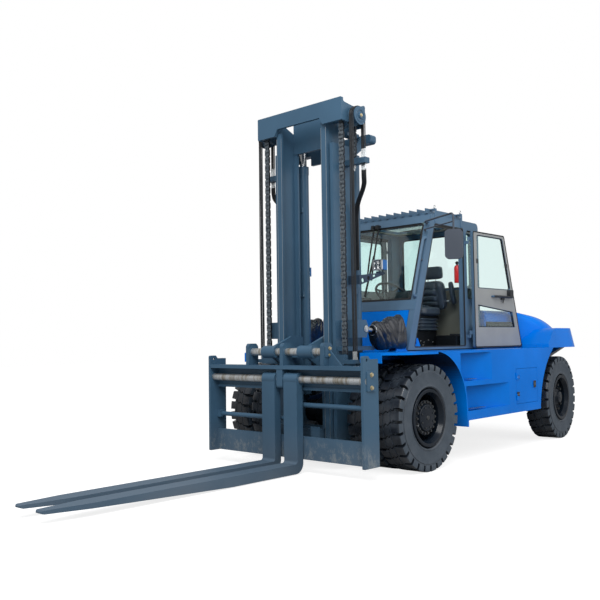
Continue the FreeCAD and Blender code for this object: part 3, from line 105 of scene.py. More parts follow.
def painted_steel(name, colour, worn, dust, roughness, dust_top=0.6, wear=0.5, shade_undersides=False,
                  rubbed=0.0, shine=0.5, shade_below=0.0):
    """Sprayed enamel: broad fading, dust that thickens towards the floor and small scuffs down to the
    primer. Where asked, faces that look down are painted near black as shade, and so is everything below a
    given height. Loads have left pale rub marks below the height rubbed."""
    material, tree, shader = new_material(name, Roughness=roughness, IOR=1.31, Specular_IOR_Level=shine)
    place = add(tree, "TexCoord", {}).outputs["Object"]
    # Fading in patches about 0.7 m wide, scuffs 30 mm wide, orange peel 4 mm wide
    patches = add(tree, "TexNoise", {"Vector": place, "Scale": 1.4, "Detail": 4.0})
    scuffs = add(tree, "TexNoise", {"Vector": place, "Scale": 33.0, "Detail": 6.0, "Roughness": 0.7})
    peel = add(tree, "TexNoise", {"Vector": place, "Scale": 250.0, "Detail": 1.0})
    broad = add(tree, "MapRange", {0: patches, 1: 0.35, 2: 0.7, 3: 0.84, 4: 1.04})
    base = add(tree, "HueSaturation", {"Color": srgb(colour), "Value": broad})
    bare = add(tree, "MapRange", {0: scuffs, 1: 0.69, 2: 0.74, 3: 0.0, 4: wear})
    scuffed = add(tree, "Mix", {0: bare, 6: base, 7: srgb(worn)}, data_type="RGBA")
    height = add(tree, "SeparateXYZ", {0: place})
    low = add(tree, "MapRange", {0: height.outputs["Z"], 1: dust_top, 2: 0.0, 3: 0.0, 4: 1.0})
    film = add(tree, "Math", {0: low, 1: patches}, operation="MULTIPLY")
    dusty = add(tree, "Mix", {0: film, 6: scuffed, 7: srgb(dust)}, data_type="RGBA")
    coat = dusty
    # Painted shade: faces that look down are mixed towards near black
    if shade_undersides:
        face = add(tree, "NewGeometry", {})
        way = add(tree, "SeparateXYZ", {0: face.outputs["True Normal"]})
        down = add(tree, "MapRange", {0: way.outputs["Z"], 1: -0.45, 2: -0.75, 3: 0.0, 4: 0.92})
        coat = add(tree, "Mix", {0: down, 6: coat, 7: SHADE_BLACK}, data_type="RGBA")
    # Painted shade: everything below the given height is mixed to near black
    if shade_below:
        under = add(tree, "MapRange", {0: height.outputs["Z"], 1: shade_below, 2: shade_below - 0.02, 3: 0.0, 4: 0.95})
        coat = add(tree, "Mix", {0: under, 6: coat, 7: SHADE_BLACK}, data_type="RGBA")
    if rubbed:
        drawn = add(tree, "Mapping", {0: place, 3: (11.0, 9.0, 7.0)})
        streaks = add(tree, "TexNoise", {"Vector": drawn, "Scale": 1.0, "Detail": 9.0, "Roughness": 0.82})
        marks = add(tree, "MapRange", {0: streaks, 1: 0.50, 2: 0.76, 3: 0.0, 4: 0.75})
        here = add(tree, "MapRange", {0: height.outputs["Z"], 1: rubbed, 2: rubbed - 0.14})
        both = add(tree, "Math", {0: marks, 1: here}, operation="MULTIPLY")
        coat = add(tree, "Mix", {0: both, 6: coat, 7: srgb("#9C9E9A")}, data_type="RGBA")
    gloss = add(tree, "Math", {0: film, 1: 0.6, 2: roughness}, operation="MULTIPLY_ADD")
    bump = add(tree, "Bump", {"Strength": 0.12, "Distance": 0.001, "Height": peel})
    connect(tree, shader, {"Base Color": coat, "Roughness": gloss, "Normal": bump})
    return material


def finish(material, *nodes):
    """Gives CAD nodes or pieces their material."""
    for item in nodes:
        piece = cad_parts[item] if isinstance(item, str) else item
        piece.data.materials.clear()
        piece.data.materials.append(material)


# Colour, worn spots, dust, roughness, top of the dust and share of wear
BLUE = ("#0075DC", "#12508F", "#4F6478", 0.24, 0.55, 0.25)
GREY_BLUE = ("#3F5D75", "#262C33", "#5F666E", 0.30, 0.5, 0.6)
# Near black for painted shade
SHADE_BLACK = srgb("#14181D")
DECK_Z, LOAD_Z = 1.16, 0.39

blue_enamel = painted_steel("blue machine enamel on sheet steel", *BLUE, shine=0.2)
# These two carry painted shade in near black on downward faces; the frame's also below the deck
underside_shaded_enamel = painted_steel("blue machine enamel with painted shade below", *BLUE, True, shine=0.2)
frame_enamel = painted_steel("blue machine enamel, painted shade below the deck", *BLUE, True, shine=0.2,
                             shade_below=DECK_Z)
mast_enamel = painted_steel("blue-grey enamel on rolled steel", *GREY_BLUE)
carriage_enamel = painted_steel("blue-grey enamel rubbed by loads", *GREY_BLUE, rubbed=LOAD_Z)
cab_enamel = painted_steel("blue-grey enamel on the cab", "#536F88", "#2A3038", "#7D8084", 0.32, 0.3, 0.3)
arm_enamel = painted_steel("dark blue-grey enamel on lamp arms", "#2F4052", "#20262D", "#5F666E", 0.34, 0.3,
                           0.4)
black_enamel = painted_steel("black chassis enamel", "#171B20", "#30343A", "#3C4046", 0.38, 0.55, 0.3)
wheel_enamel = painted_steel("satin black wheel enamel", "#141C26", "#28303A", "#2C3641", 0.22, 0.3, 0.2)
# The chassis frame carries painted shade below the deck and on its downward faces
finish(frame_enamel, "chassis_frame")
finish(carriage_enamel, "carriage_front")
finish(arm_enamel, "work_lamps")
finish(blue_enamel, "side_door_left", "side_door_right", "engine_hood", "engine_cover", "sill_brackets")
# Side bodies and counterweight carry painted shade on their downward faces
finish(underside_shaded_enamel, "side_body_left", "side_body_right", "counterweight")
finish(wheel_enamel, "front_rim_left", "front_rim_right", "rear_rim_left", "rear_rim_right")
finish(black_enamel, "drive_axle", "steer_axle", "knuckle_left", "knuckle_right", "tie_rod", "engine_block",
       "cab_floor")
finish(mast_enamel, "mast_outer_frame", "mast_inner_frame", "carriage_rear", "lift_cylinders",
       "fork_left", "fork_right")
finish(cab_enamel, "cab_frame", "cab_door_left", "cab_door_right", "overhead_guard")

# ------------------------------------------------------------------ tyres
# Cross-ply industrial tyres, moulded in carbon-black rubber. Deep bars at the shoulders, cut apart by open
# slots, turn into zig-zag blocks with narrow sipes on the crown. The walls are dusty and grey, the tread
# blacker.

AXLE = float(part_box("front_rim_left")[0][1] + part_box("front_rim_left")[1][1]) / 2
TYRE_R, TYRE_W, LUGS = 0.562, 0.312, 28
NECK = 0.076
REAR_Y, KINGPIN_X, STEER = 3.4, 0.760, math.radians(4.3)


def skin(name, parts, material, body, smooth=35.0):
    """Piece from a list of (points, faces) parts given about the front axle: doubles merged, normals
    outward."""
    mesh = bpy.data.meshes.new(name)
    points = np.concatenate([np.asarray(p, float).reshape(-1, 3) for p, _ in parts]) + (0.0, AXLE, 0.0)
    starts = np.cumsum([0] + [len(np.asarray(p).reshape(-1, 3)) for p, _ in parts])
    faces = []
    for (_, group), start in zip(parts, starts.tolist()):
        group = group.tolist() if isinstance(group, np.ndarray) else group
        faces += [[i + start for i in face] for face in group]
    mesh.from_pydata(points.tolist(), [], faces)
    work = bmesh.new()
    work.from_mesh(mesh)
    bmesh.ops.remove_doubles(work, verts=work.verts, dist=1e-5)
    bmesh.ops.dissolve_degenerate(work, edges=work.edges, dist=1e-5)
    bmesh.ops.recalc_face_normals(work, faces=work.faces)
    work.to_mesh(mesh)
    work.free()
    mesh.materials.append(material)
    mesh.shade_smooth()
    mesh.set_sharp_from_angle(angle=math.radians(smooth))
    piece = bpy.data.objects.new(name, mesh)
    bpy.context.collection.objects.link(piece)
    if body:
        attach(piece, body)
    return piece


def lattice(points, round_u=False, round_v=False):
    """Quads over a (u, v, 3) grid of points, closed round u or v where asked."""
    nu, nv = points.shape[:2]
    u, v = np.meshgrid(np.arange(nu - (not round_u)), np.arange(nv - (not round_v)), indexing="ij")
    un, vn = (u + 1) % nu, (v + 1) % nv
    quads = np.stack([u * nv + v, un * nv + v, un * nv + vn, u * nv + vn], -1).reshape(-1, 4)
    return points.reshape(-1, 3), quads


def about_x(x, r, a, y=0.0, z=TYRE_R):
    """Points at radius r and angle a about a line along X through (y, z)."""
    x, r, a = np.broadcast_arrays(x, r, a)
    return np.stack([x, y + r * np.cos(a), z + r * np.sin(a)], -1)


def tyre_surface(middle):
    """Closed tyre surface over (angle, section). Columns follow the edges of the slots, whose middle swings
    in a zig-zag from one shoulder to the other; the shoulder rows run up and over a bar, or along the
    slot's floor."""
    pitch = 2 * math.pi / LUGS
    wall = np.array([(0.121, 0.2545), (0.121, 0.303), (0.133, 0.310), (0.146, 0.319), (0.152, 0.328),
                     (0.1530, 0.333), (0.1490, 0.338), (0.1475, 0.347), (0.1480, 0.360), (0.1500, 0.405),
                     (0.1520, 0.440), (0.1545, 0.460), (0.1560, 0.4700), (0.1560, 0.4760), (0.1512, 0.4800),
                     (0.1510, 0.488), (0.1505, 0.4935)])
    bar = np.array([(0.1520, 0.500), (0.1528, 0.520), (0.1520, 0.545), (0.1490, 0.5560), (0.1430, 0.5592),
                    (0.1250, 0.5603), (0.0950, 0.5612), (0.0765, 0.5616)])
    slot = np.array([(0.1440, 0.4955), (0.1300, 0.4960), (0.1160, 0.4962), (0.1020, 0.4970), (0.0930, 0.5000),
                     (0.0860, 0.5080), (0.0800, 0.5250), (0.0765, 0.5440)])
    crown_x = np.array([0.066, 0.052, 0.0455, 0.0435, 0.0385, 0.0365, 0.022, 0.008])
    crown_x = np.concatenate([crown_x, -crown_x[::-1]])
    swing_at = [-NECK, -0.058, -0.040, -0.012, 0.012, 0.040, 0.058, NECK]
    swing = np.interp(crown_x, swing_at, [0.5, 0.36, 0.50, 0.14, 0.36, 0.0, 0.14, 0.0])
    # One pitch of columns: slot floor edges, slot wall, then the bar's top in five spans
    lift = np.array([0, 0, 1, 1, 1, 1, 1, 1, 1, 0]).astype(float)
    wide = np.array([-0.105, 0.105, 0.135, 0.22, 0.36, 0.5, 0.64, 0.78, 0.865, 0.895])
    thin = np.array([-0.044, 0.044, 0.058, 0.16, 0.33, 0.5, 0.67, 0.84, 0.942, 0.956])
    u = np.arange(LUGS)[:, None]

    def ring(x, r, share, offset):
        """Row of the grid, with x and r for each column of a pitch, at angles (u + share + offset)
        pitches."""
        angle = (u + share[None, :] + offset) * pitch
        x, r = (np.broadcast_to(value, share.shape)[None, :] for value in (x, r))
        return about_x(middle + x, r, angle).reshape(-1, 3)

    def shoulder(b, s, sign, offset):
        """Row that runs along the slot's floor at s and lifts to the bar at b."""
        return ring(sign * (s[0] + (b[0] - s[0]) * lift), s[1] + (b[1] - s[1]) * lift, wide, offset)
    rows = [ring(x, r, wide, 0.0) for x, r in wall]
    rows += [shoulder(b, s, 1, 0.0) for b, s in zip(bar, slot)]
    zig = 0.010 * np.abs(np.linspace(-1, 1, len(thin)))
    sipe = 0.022
    for x, offset in zip(crown_x, swing):
        deep = sipe * (1 - lift)
        if 0.0384 < abs(x) < 0.0436:
            deep = np.maximum(deep, sipe * 0.8)
        shift = zig * np.sign(x) * np.clip((0.066 - abs(x)) / 0.02, 0, 1) * (abs(x) > 0.03)
        rows.append(ring(x + shift, TYRE_R - 0.0004 * (abs(x) > 0.04) - 0.001 - deep, thin, offset))
    rows += [shoulder(b, s, -1, 0.5) for b, s in zip(bar[::-1], slot[::-1])]
    rows += [ring(-x, r, wide, 0.5) for x, r in wall[::-1]]
    return lattice(np.array(rows), True, True)


def turned_stock(profile, turns=64, y=0.0, z=TYRE_R):
    """Surface of revolution about an X line: the (x, r) profile goes round the closed section."""
    profile = np.asarray(profile, float)
    a = np.linspace(0, 2 * math.pi, turns, endpoint=False)
    return lattice(about_x(profile[None, :, 0], profile[None, :, 1], a[:, None], y, z), True, False)


def mirror_x(part):
    """The same part on the truck's other side."""
    return np.asarray(part[0]) * (-1.0, 1.0, 1.0), part[1]


def on_side(parts, side):
    """Parts of the left side as they stand on the left (1) or on the right (-1)."""
    return parts if side > 0 else [mirror_x(p) for p in parts]


def steered(part, side):
    """Turns a part of the left (1) or right (-1) rear wheel about its kingpin, to where it stands."""
    pin = np.array((side * KINGPIN_X, REAR_Y, 0.0))
    c, s = math.cos(STEER), math.sin(STEER)
    turn = np.array(((c, s, 0), (-s, c, 0), (0, 0, 1)))
    return (np.asarray(part[0]) - pin) @ turn + pin, part[1]


def tyre_rubber():
    """Moulded rubber: near black on the tread, dusty blue-grey on the walls, scuffed, with fine mould
    grain."""
    material, tree, shader = new_material("moulded tyre rubber", Roughness=0.5, IOR=1.52)
    place = add(tree, "TexCoord", {}).outputs["Object"]
    dust = add(tree, "TexNoise", {"Vector": place, "Scale": 7.0, "Detail": 6.0, "Roughness": 0.65})
    stretched = add(tree, "Mapping", {0: place, 3: (3.0, 9.0, 40.0)})
    scuffs = add(tree, "TexNoise", {"Vector": stretched, "Scale": 2.2, "Detail": 5.0})
    grain = add(tree, "TexNoise", {"Vector": place, "Scale": 420.0, "Detail": 2.0})
    face = add(tree, "NewGeometry", {})
    side = add(tree, "SeparateXYZ", {0: face.outputs["True Normal"]})
    flat = add(tree, "Math", {0: side.outputs["X"]}, operation="ABSOLUTE")
    wall = add(tree, "MapRange", {0: flat, 1: 0.55, 2: 0.95, 3: 0.0, 4: 1.0})
    base = add(tree, "Mix", {0: wall, 6: srgb("#161C25"), 7: srgb("#333F4B")}, data_type="RGBA")
    film = add(tree, "MapRange", {0: dust, 1: 0.42, 2: 0.75, 3: 0.0, 4: 0.35})
    dusty = add(tree, "Mix", {0: film, 6: base, 7: srgb("#5C656F")}, data_type="RGBA")
    mark = add(tree, "MapRange", {0: scuffs, 1: 0.62, 2: 0.72, 3: 0.0, 4: 0.5})
    worn = add(tree, "Mix", {0: mark, 6: dusty, 7: srgb("#1B1D20")}, data_type="RGBA")
    bump = add(tree, "Bump", {"Strength": 0.35, "Distance": 0.001, "Height": grain})
    # The road wipes the crown to a dull polish, and the walls stay matt
    polish = add(tree, "MapRange", {0: wall, 3: 0.30, 4: 0.52})
    connect(tree, shader, {"Base Color": worn, "Roughness": polish, "Normal": bump})
    return material


rubber = tyre_rubber()
OUTER_X, INNER_X, REAR_X = 1.235 - TYRE_W / 2, 1.235 - 1.5 * TYRE_W - 0.045, 1.004
twins = [tyre_surface(OUTER_X), tyre_surface(INNER_X)]
points, faces = tyre_surface(REAR_X)
single = points + (0.0, REAR_Y, 0.0), faces
for parts, node, wheel in (
        (twins, "front_tyres_left", "front_wheel_left"),
        (on_side(twins, -1), "front_tyres_right", "front_wheel_right"),
        ([steered(single, 1)], "rear_tyre_left", "rear_wheel_left"),
        ([steered(mirror_x(single), -1)], "rear_tyre_right", "rear_wheel_right")):
    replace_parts(skin(wheel + "_tread", parts, rubber, wheel, 28.0), node)

# ------------------------------------------------------------------ rims and hubs
# Rolled and welded steel rims in satin black, with the planetary hub's cover inside each. Nuts and studs
# are blackened steel dulled by brake dust, and the valve stems zinc-plated.


def dull_steel(name, colour, metal, rough, spots="#5A4636", spot_share=0.25, scale=60.0):
    """Machined or plated steel: fine streaks, dull patches and a little rust in the pits."""
    material, tree, shader = new_material(name, Metallic=metal)
    place = add(tree, "TexCoord", {}).outputs["Object"]
    patch = add(tree, "TexNoise", {"Vector": place, "Scale": scale, "Detail": 5.0, "Roughness": 0.6})
    rust = add(tree, "MapRange", {0: patch, 1: 0.56, 2: 0.7, 3: 0.0, 4: spot_share})
    tone = add(tree, "Mix", {0: rust, 6: srgb(colour), 7: srgb(spots)}, data_type="RGBA")
    gloss = add(tree, "MapRange", {0: patch, 3: rough - 0.1, 4: rough + 0.15})
    connect(tree, shader, {"Base Color": tone, "Roughness": gloss})
    return material


def prism_x(outline, x0, x1):
    """Flat (y, z) outline drawn out from x0 to x1, with both ends closed."""
    outline = np.asarray(outline, float)
    n = len(outline)
    points = np.concatenate([np.column_stack([np.full(n, x), outline]) for x in (x0, x1)])
    i = np.arange(n)
    sides = np.stack([i, (i + 1) % n, (i + 1) % n + n, i + n], -1).tolist()
    return points, sides + [i[::-1].tolist(), (i + n).tolist()]


def corners_of(sides, radius, y=0.0, z=0.0, phase=0.0):
    """Regular outline of a nut, bolt or small round."""
    a = phase + np.arange(sides) * 2 * math.pi / sides
    return np.column_stack([y + radius * np.cos(a), z + radius * np.sin(a)])


def bolt_x(x0, x1, y, z, radius=0.012, washer=True):
    """Hexagon head standing along X on a round washer."""
    step = x0 + (x1 - x0) * 0.25
    parts = [prism_x(corners_of(6, radius, y, z, 0.4), x0, x1)]
    if washer:
        parts.append(prism_x(corners_of(14, radius * 1.35, y, z), x0, step))
    return parts


def bolt_circle(count, circle, x0, x1, radius, y=0.0, washer=True, turn=0.0):
    """Bolts spaced evenly round the axle at y, turned on by a share of their spacing."""
    parts = []
    for i in range(count):
        a = 2 * math.pi * (i + turn) / count
        parts += bolt_x(x0, x1, y + circle * math.cos(a), TYRE_R + circle * math.sin(a), radius, washer)
    return parts


plated = dull_steel("dull zinc-plated steel", "#8E9296", 0.8, 0.45)
black_steel = dull_steel("blackened steel fasteners", "#3A3D40", 0.5, 0.5)
STEM = [(1.168, 0), (1.168, 0.006), (1.225, 0.005), (1.226, 0.007), (1.240, 0.007), (1.240, 0)]
for side, hand in HANDS:
    nuts = bolt_circle(18, 0.165, 1.176, 1.1935, 0.0135)
    nuts += bolt_circle(8, 0.112, 1.2045, 1.2125, 0.009, washer=False, turn=0.5)
    nuts.append(turned_stock([(1.206, 0), (1.206, 0.026), (1.216, 0.022), (1.216, 0)], 24))
    skin("hub_nuts_" + hand, on_side(nuts, side), black_steel, "front_wheel_" + hand)
    valve = turned_stock(STEM, 12, -0.228, TYRE_R - 0.062)
    skin("valve_stem_" + hand, on_side([valve], side), plated, "front_wheel_" + hand)
for side, hand in HANDS:
    nuts = bolt_circle(10, 0.172, REAR_X + 0.040, REAR_X + 0.092, 0.019, REAR_Y)
    nuts.append(turned_stock([(1.136, 0), (1.136, 0.030), (1.146, 0.026), (1.148, 0)], 24, REAR_Y))
    skin("wheel_nuts_rear_" + hand, [steered(p, side) for p in on_side(nuts, side)], black_steel,
         "rear_wheel_" + hand)

# ------------------------------------------------------------------ leaf chains and their sheaves
# Two heavy leaf chains lift the carriage: stacks of punched steel plates on riveted pins, oiled, with the
# plates' sides painted dark as the shade between them and bright edges where the plates turn on the sheaves.
# Each hangs from the outer mast and ends at the carriage.

CHAIN_X, CHAIN_Y, CHAIN_R = 0.560, -0.557, 0.105
HOSE_X, HOSE_Y, HOSE_R = 0.684, -0.545, 0.103
SHEAVE_Z, CHAIN_FOOT, HOSE_FOOT, ANCHOR = 3.785, 1.235, 1.180, 3.350
LINK, REAR_LINK, LOBE = 0.0445, 0.0395, 0.0165


def line_of(x, y, z):
    """Points along a line, where a single number stands for all of them."""
    return np.column_stack(np.broadcast_arrays(x, y, z))


def chain(pins, x):
    """Leaf chain through (x, y, z) pin points: rows of figure-eight plates between neighbouring pins, and
    the pins."""
    pins = pins[:, 1:]
    a = np.radians(np.concatenate([np.linspace(-50, 50, 6), np.linspace(130, 230, 6)]))
    end = np.where(np.cos(a) > 0, 0.5, -0.5)
    run = np.diff(pins, axis=0)
    length = np.linalg.norm(run, axis=1, keepdims=True)
    run = run / length
    across = np.stack([-run[:, 1], run[:, 0]], -1)
    middle = (pins[1:] + pins[:-1]) / 2
    along = end[None, :, None] * length[:, None] + LOBE * np.cos(a)[None, :, None]
    edge = middle[:, None] + run[:, None] * along + across[:, None] * (LOBE * np.sin(a)[None, :, None])
    parts = []
    for first, leaves in ((0, (-0.0275, -0.0095, 0.0095, 0.0275)), (1, (-0.0185, 0.0, 0.0185))):
        for leaf in leaves:
            parts += [prism_x(outline, x + leaf - 0.0036, x + leaf + 0.0036) for outline in edge[first::2]]
    parts += [prism_x(corners_of(8, 0.0072, y, z), x - 0.0325, x + 0.0325) for y, z in pins]
    return parts


def oiled_chain():
    """Punched and oiled steel: side faces painted dark as the shade in the gaps, greyer on the rubbed edges.
    """
    material, tree, shader = new_material("oiled chain steel", Metallic=0.75, Roughness=0.42)
    place = add(tree, "TexCoord", {}).outputs["Object"]
    grime = add(tree, "TexNoise", {"Vector": place, "Scale": 45.0, "Detail": 4.0})
    tone = add(tree, "MapRange", {0: grime, 1: 0.35, 2: 0.65})
    face = add(tree, "NewGeometry", {})
    side = add(tree, "SeparateXYZ", {0: face.outputs["True Normal"]})
    # Painted shade: faces looking along X, the plates' sides, are mixed to dark grey
    flat = add(tree, "Math", {0: side.outputs["X"]}, operation="ABSOLUTE")
    edge = add(tree, "Mix", {0: tone, 6: srgb("#5A646E"), 7: srgb("#8A949C")}, data_type="RGBA")
    both = add(tree, "Mix", {0: flat, 6: edge, 7: srgb("#262B31")}, data_type="RGBA")
    connect(tree, shader, {"Base Color": both})
    return material


chain_steel = oiled_chain()
over = np.linspace(math.pi, 0, 9)
wrap = line_of(0.0, CHAIN_Y + CHAIN_R + CHAIN_R * np.cos(over), SHEAVE_Z + CHAIN_R * np.sin(over))
front_pins = line_of(0.0, CHAIN_Y, SHEAVE_Z - LINK * np.arange(58)[::-1])
rear_pins = line_of(0.0, CHAIN_Y + 2 * CHAIN_R, SHEAVE_Z - REAR_LINK * np.arange(11))
for side, hand in HANDS:
    front = skin("leaf_chain_front_" + hand, chain(front_pins, side * CHAIN_X), chain_steel, None)
    top = skin("leaf_chain_top_" + hand, chain(wrap, side * CHAIN_X), chain_steel, "mast_inner")
    rear = skin("leaf_chain_rear_" + hand, chain(rear_pins, side * CHAIN_X), chain_steel, None)
    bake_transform(front)
    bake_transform(rear)
    if side > 0:
        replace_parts(front, "chain_front_runs")
        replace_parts(rear, "chain_rear_runs")

# ------------------------------------------------------------------ hydraulic hoses
# Four rubber hoses side by side each side, stretched over a pulley at the mast head, with crimped zinc
# fittings at both ends. They are held taut, so they have no slack of their own.


def tube(path, radius, sides=10, reference=(1.0, 0.0, 0.0)):
    """Closed round tube: a circle carried along the path, square to it and turned from the reference
    direction."""
    path = np.asarray(path, float)
    ahead = np.gradient(path, axis=0)
    ahead /= np.linalg.norm(ahead, axis=1, keepdims=True)
    first = np.cross(ahead, np.asarray(reference, float))
    first /= np.linalg.norm(first, axis=1, keepdims=True)
    second = np.cross(ahead, first)
    radius = np.broadcast_to(radius, len(path)).astype(float)
    path = np.concatenate([path[:1], path, path[-1:]])
    first, second = (np.concatenate([v[:1], v, v[-1:]]) for v in (first, second))
    radius = np.concatenate([[0.0], radius, [0.0]])
    a = np.linspace(0, 2 * math.pi, sides, endpoint=False)
    ring = np.cos(a)[None, :, None] * first[:, None] + np.sin(a)[None, :, None] * second[:, None]
    return lattice(path[:, None] + radius[:, None, None] * ring, False, True)


def eased(points, rounds=3):
    """Path with its corners cut away, each round taking a quarter off both sides of a corner."""
    points = np.asarray(points, float)
    for _ in range(rounds):
        cut = np.stack([0.75 * points[:-1] + 0.25 * points[1:], 0.25 * points[:-1] + 0.75 * points[1:]], 1)
        points = np.concatenate([points[:1], cut.reshape(-1, 3), points[-1:]])
    return points


def upright(profile, turns, x, y, z=0.0):
    """Turned stock about a vertical line through (x, y), from a (z, r) profile measured from z."""
    points, faces = turned_stock(profile, turns, 0.0, 0.0)
    return points[:, [1, 2, 0]] + (x, y, z), faces


def ferrule(x, y, z0, z1, radius=0.0080):
    """Crimped hose end on a vertical line, ribbed all the way up."""
    ribs = np.repeat(np.linspace(z0, z1, 9), 2)[1:-1]
    sleeve = np.column_stack([ribs, np.tile([radius, radius * 0.86], 8)])
    return upright(np.concatenate([[(z0, 0)], sleeve, [(z1, 0)]]), 12, x, y)


def hose_rubber():
    """Extruded hose cover: black, semi-matt, with pale rubbed streaks along it."""
    material, tree, shader = new_material("extruded hose rubber", Roughness=0.36)
    place = add(tree, "TexCoord", {}).outputs["Object"]
    drawn = add(tree, "Mapping", {0: place, 3: (160.0, 160.0, 3.0)})
    streak = add(tree, "TexNoise", {"Vector": drawn, "Scale": 1.0, "Detail": 3.0})
    rubbed = add(tree, "MapRange", {0: streak, 1: 0.5, 2: 0.75, 3: 0.0, 4: 0.6})
    tone = add(tree, "Mix", {0: rubbed, 6: srgb("#12161B"), 7: srgb("#353B42")},
               data_type="RGBA")
    connect(tree, shader, {"Base Color": tone})
    return material


hose_black = hose_rubber()
bright_zinc = dull_steel("bright zinc-plated fittings", "#C4C8CA", 0.85, 0.32)
HOSE_BORE, PIPE_Y, PIPE_END = 0.0063, -0.235, 2.15
LANES = (-0.0243, -0.0081, 0.0081, 0.0243)
rise = np.linspace(HOSE_FOOT + 0.03, SHEAVE_Z, 60)
arc = np.linspace(math.pi, 0, 20)
drop = np.linspace(SHEAVE_Z, ANCHOR + 0.06, 16)
for side, hand in HANDS:
    x = side * HOSE_X
    fronts, tops, rears = [], [], []
    for i, lane in enumerate(LANES):
        sway = 0.0022 * np.sin(2.1 * rise + 1.7 * i)
        above = x + lane + sway[-1]
        fronts.append(tube(line_of(x + lane + sway, HOSE_Y, rise), HOSE_BORE))
        arch = line_of(above, HOSE_Y + HOSE_R + HOSE_R * np.cos(arc), SHEAVE_Z + HOSE_R * np.sin(arc))
        tops.append(tube(arch, HOSE_BORE))
        rears.append(tube(line_of(above, HOSE_Y + 2 * HOSE_R, drop), HOSE_BORE))
    front = skin("hoses_front_" + hand, fronts, hose_black, None)
    top = skin("hoses_top_" + hand, tops, hose_black, "mast_inner")
    rear = skin("hoses_rear_" + hand, rears, hose_black, None)
    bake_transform(front)
    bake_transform(rear)
    if side > 0:
        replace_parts(front, "hose_front_runs")
        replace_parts(rear, "hose_rear_runs")
    ends = [ferrule(x + lane, HOSE_Y, HOSE_FOOT - 0.002, HOSE_FOOT + 0.085) for lane in LANES]
    skin("hose_fittings_low_" + hand, ends, bright_zinc, "carriage_rear")
    y = HOSE_Y + 2 * HOSE_R
    ends = [ferrule(x + lane, y, ANCHOR - 0.002, ANCHOR + 0.1) for lane in LANES]
    ends += [ferrule(x + lane, y, ANCHOR - 0.13, ANCHOR - 0.058) for lane in LANES]
    # The threaded end of the chain's anchor, with its nut
    nut = [(-0.125, 0), (-0.125, 0.011), (-0.1, 0.011), (-0.1, 0.02), (-0.062, 0.02), (-0.062, 0.0)]
    ends.append(upright(nut, 12, side * (CHAIN_X - 0.001), CHAIN_Y + 2 * CHAIN_R, ANCHOR))
    skin("hose_fittings_high_" + hand, ends, bright_zinc, "mast_outer")
    # Steel pipes from the fittings, bent down beside the outer rail and clipped to it
    pipes = []
    for i, lane in enumerate(LANES):
        rail = side * (0.462 + 0.017 * i)
        bends = [(x + lane, y, ANCHOR - 0.12), (x + lane, y, ANCHOR - 0.2),
                 (x + lane - side * 0.01, y + 0.02, ANCHOR - 0.3), (rail, PIPE_Y, ANCHOR - 0.5),
                 (rail, PIPE_Y, ANCHOR - 0.75), (rail, PIPE_Y, PIPE_END)]
        pipes.append(tube(eased(bends), 0.0075, 8, (0.0, 1.0, 0.0)))
    skin("mast_pipes_" + hand, pipes, hose_black, "mast_outer")

# ------------------------------------------------------------------ mast, carriage and forks
# Rolled and forged steel in blue-grey enamel. Bright lines down both edges of the inner rails' front flanges
# are painted highlights, standing also for the rollers' polish; the shafts that the forks and the frame slide
# on are bare, greasy and spotted with rust.


def rounded(corners, radius, steps=5):
    """Closed outline of straight runs whose corners are quarter-like arcs of a radius."""
    corners = np.asarray(corners, float)
    before, after = np.roll(corners, 1, 0), np.roll(corners, -1, 0)
    to_before = (before - corners) / np.linalg.norm(before - corners, axis=1, keepdims=True)
    to_after = (after - corners) / np.linalg.norm(after - corners, axis=1, keepdims=True)
    t = np.linspace(0, 1, steps)[None, :, None]
    start, end = corners + radius * to_before, corners + radius * to_after
    curve = (1 - t) ** 2 * start[:, None] + 2 * t * (1 - t) * corners[:, None] + t ** 2 * end[:, None]
    return curve.reshape(-1, corners.shape[1])


def rectangle(u0, u1, v0, v1):
    """Corners of a rectangle, round from the lowest u and v."""
    return [(u0, v0), (u1, v0), (u1, v1), (u0, v1)]


def box(x0, x1, y0, y1, z0, z1, soft=0.0):
    """Closed block whose edges along X are rounded by soft: a rounded (y, z) outline carried along X."""
    outline = rectangle(y0, y1, z0, z1)
    return prism_x(rounded(outline, soft, 4) if soft else outline, x0, x1)


def fasteners(name, body, material, spots):
    """Bolts that stand along X, one for each (x0, x1, y, z, radius)."""
    parts = []
    for x0, x1, y, z, radius in spots:
        parts += bolt_x(x0, x1, y, z, radius)
    return skin(name, parts, material, body)


yellow_zinc = dull_steel("yellow-passivated bolts", "#C2B695", 0.75, 0.38)
keeper_bolts = [(s * 1.142, s * 1.160, -0.876, z, 0.017) for s in (1, -1) for z in (0.918, 1.044)]
keeper_bolts += [(0.600, 0.616, -0.858, z, 0.014) for z in (1.236, 1.304)]
fasteners("keeper_bolts", "carriage_front", yellow_zinc, keeper_bolts)
fasteners("clevis_pin_ends", "mast_outer", bright_zinc, [(s * 0.667, s * 0.676, -0.325, 1.506, 0.026)
                                                         for s in (1, -1)])
PULLEY = HOSE_Y + HOSE_R, SHEAVE_Z
WASHER = [(0.7275, 0.058), (0.7275, 0.072), (0.7325, 0.070), (0.7325, 0.058), (0.7275, 0.058)]
BOSS = [(0.7275, 0.0), (0.7275, 0.034), (0.742, 0.032), (0.742, 0.0)]
caps = [turned_stock(profile, 40, *PULLEY) for profile in (WASHER, BOSS)]
skin("pulley_faces", caps + on_side(caps, -1), mast_enamel, "mast_inner")
fasteners("pulley_bolts", "mast_inner", yellow_zinc, [(s * 0.742, s * 0.752, *PULLEY, 0.014)
                                                      for s in (1, -1)])


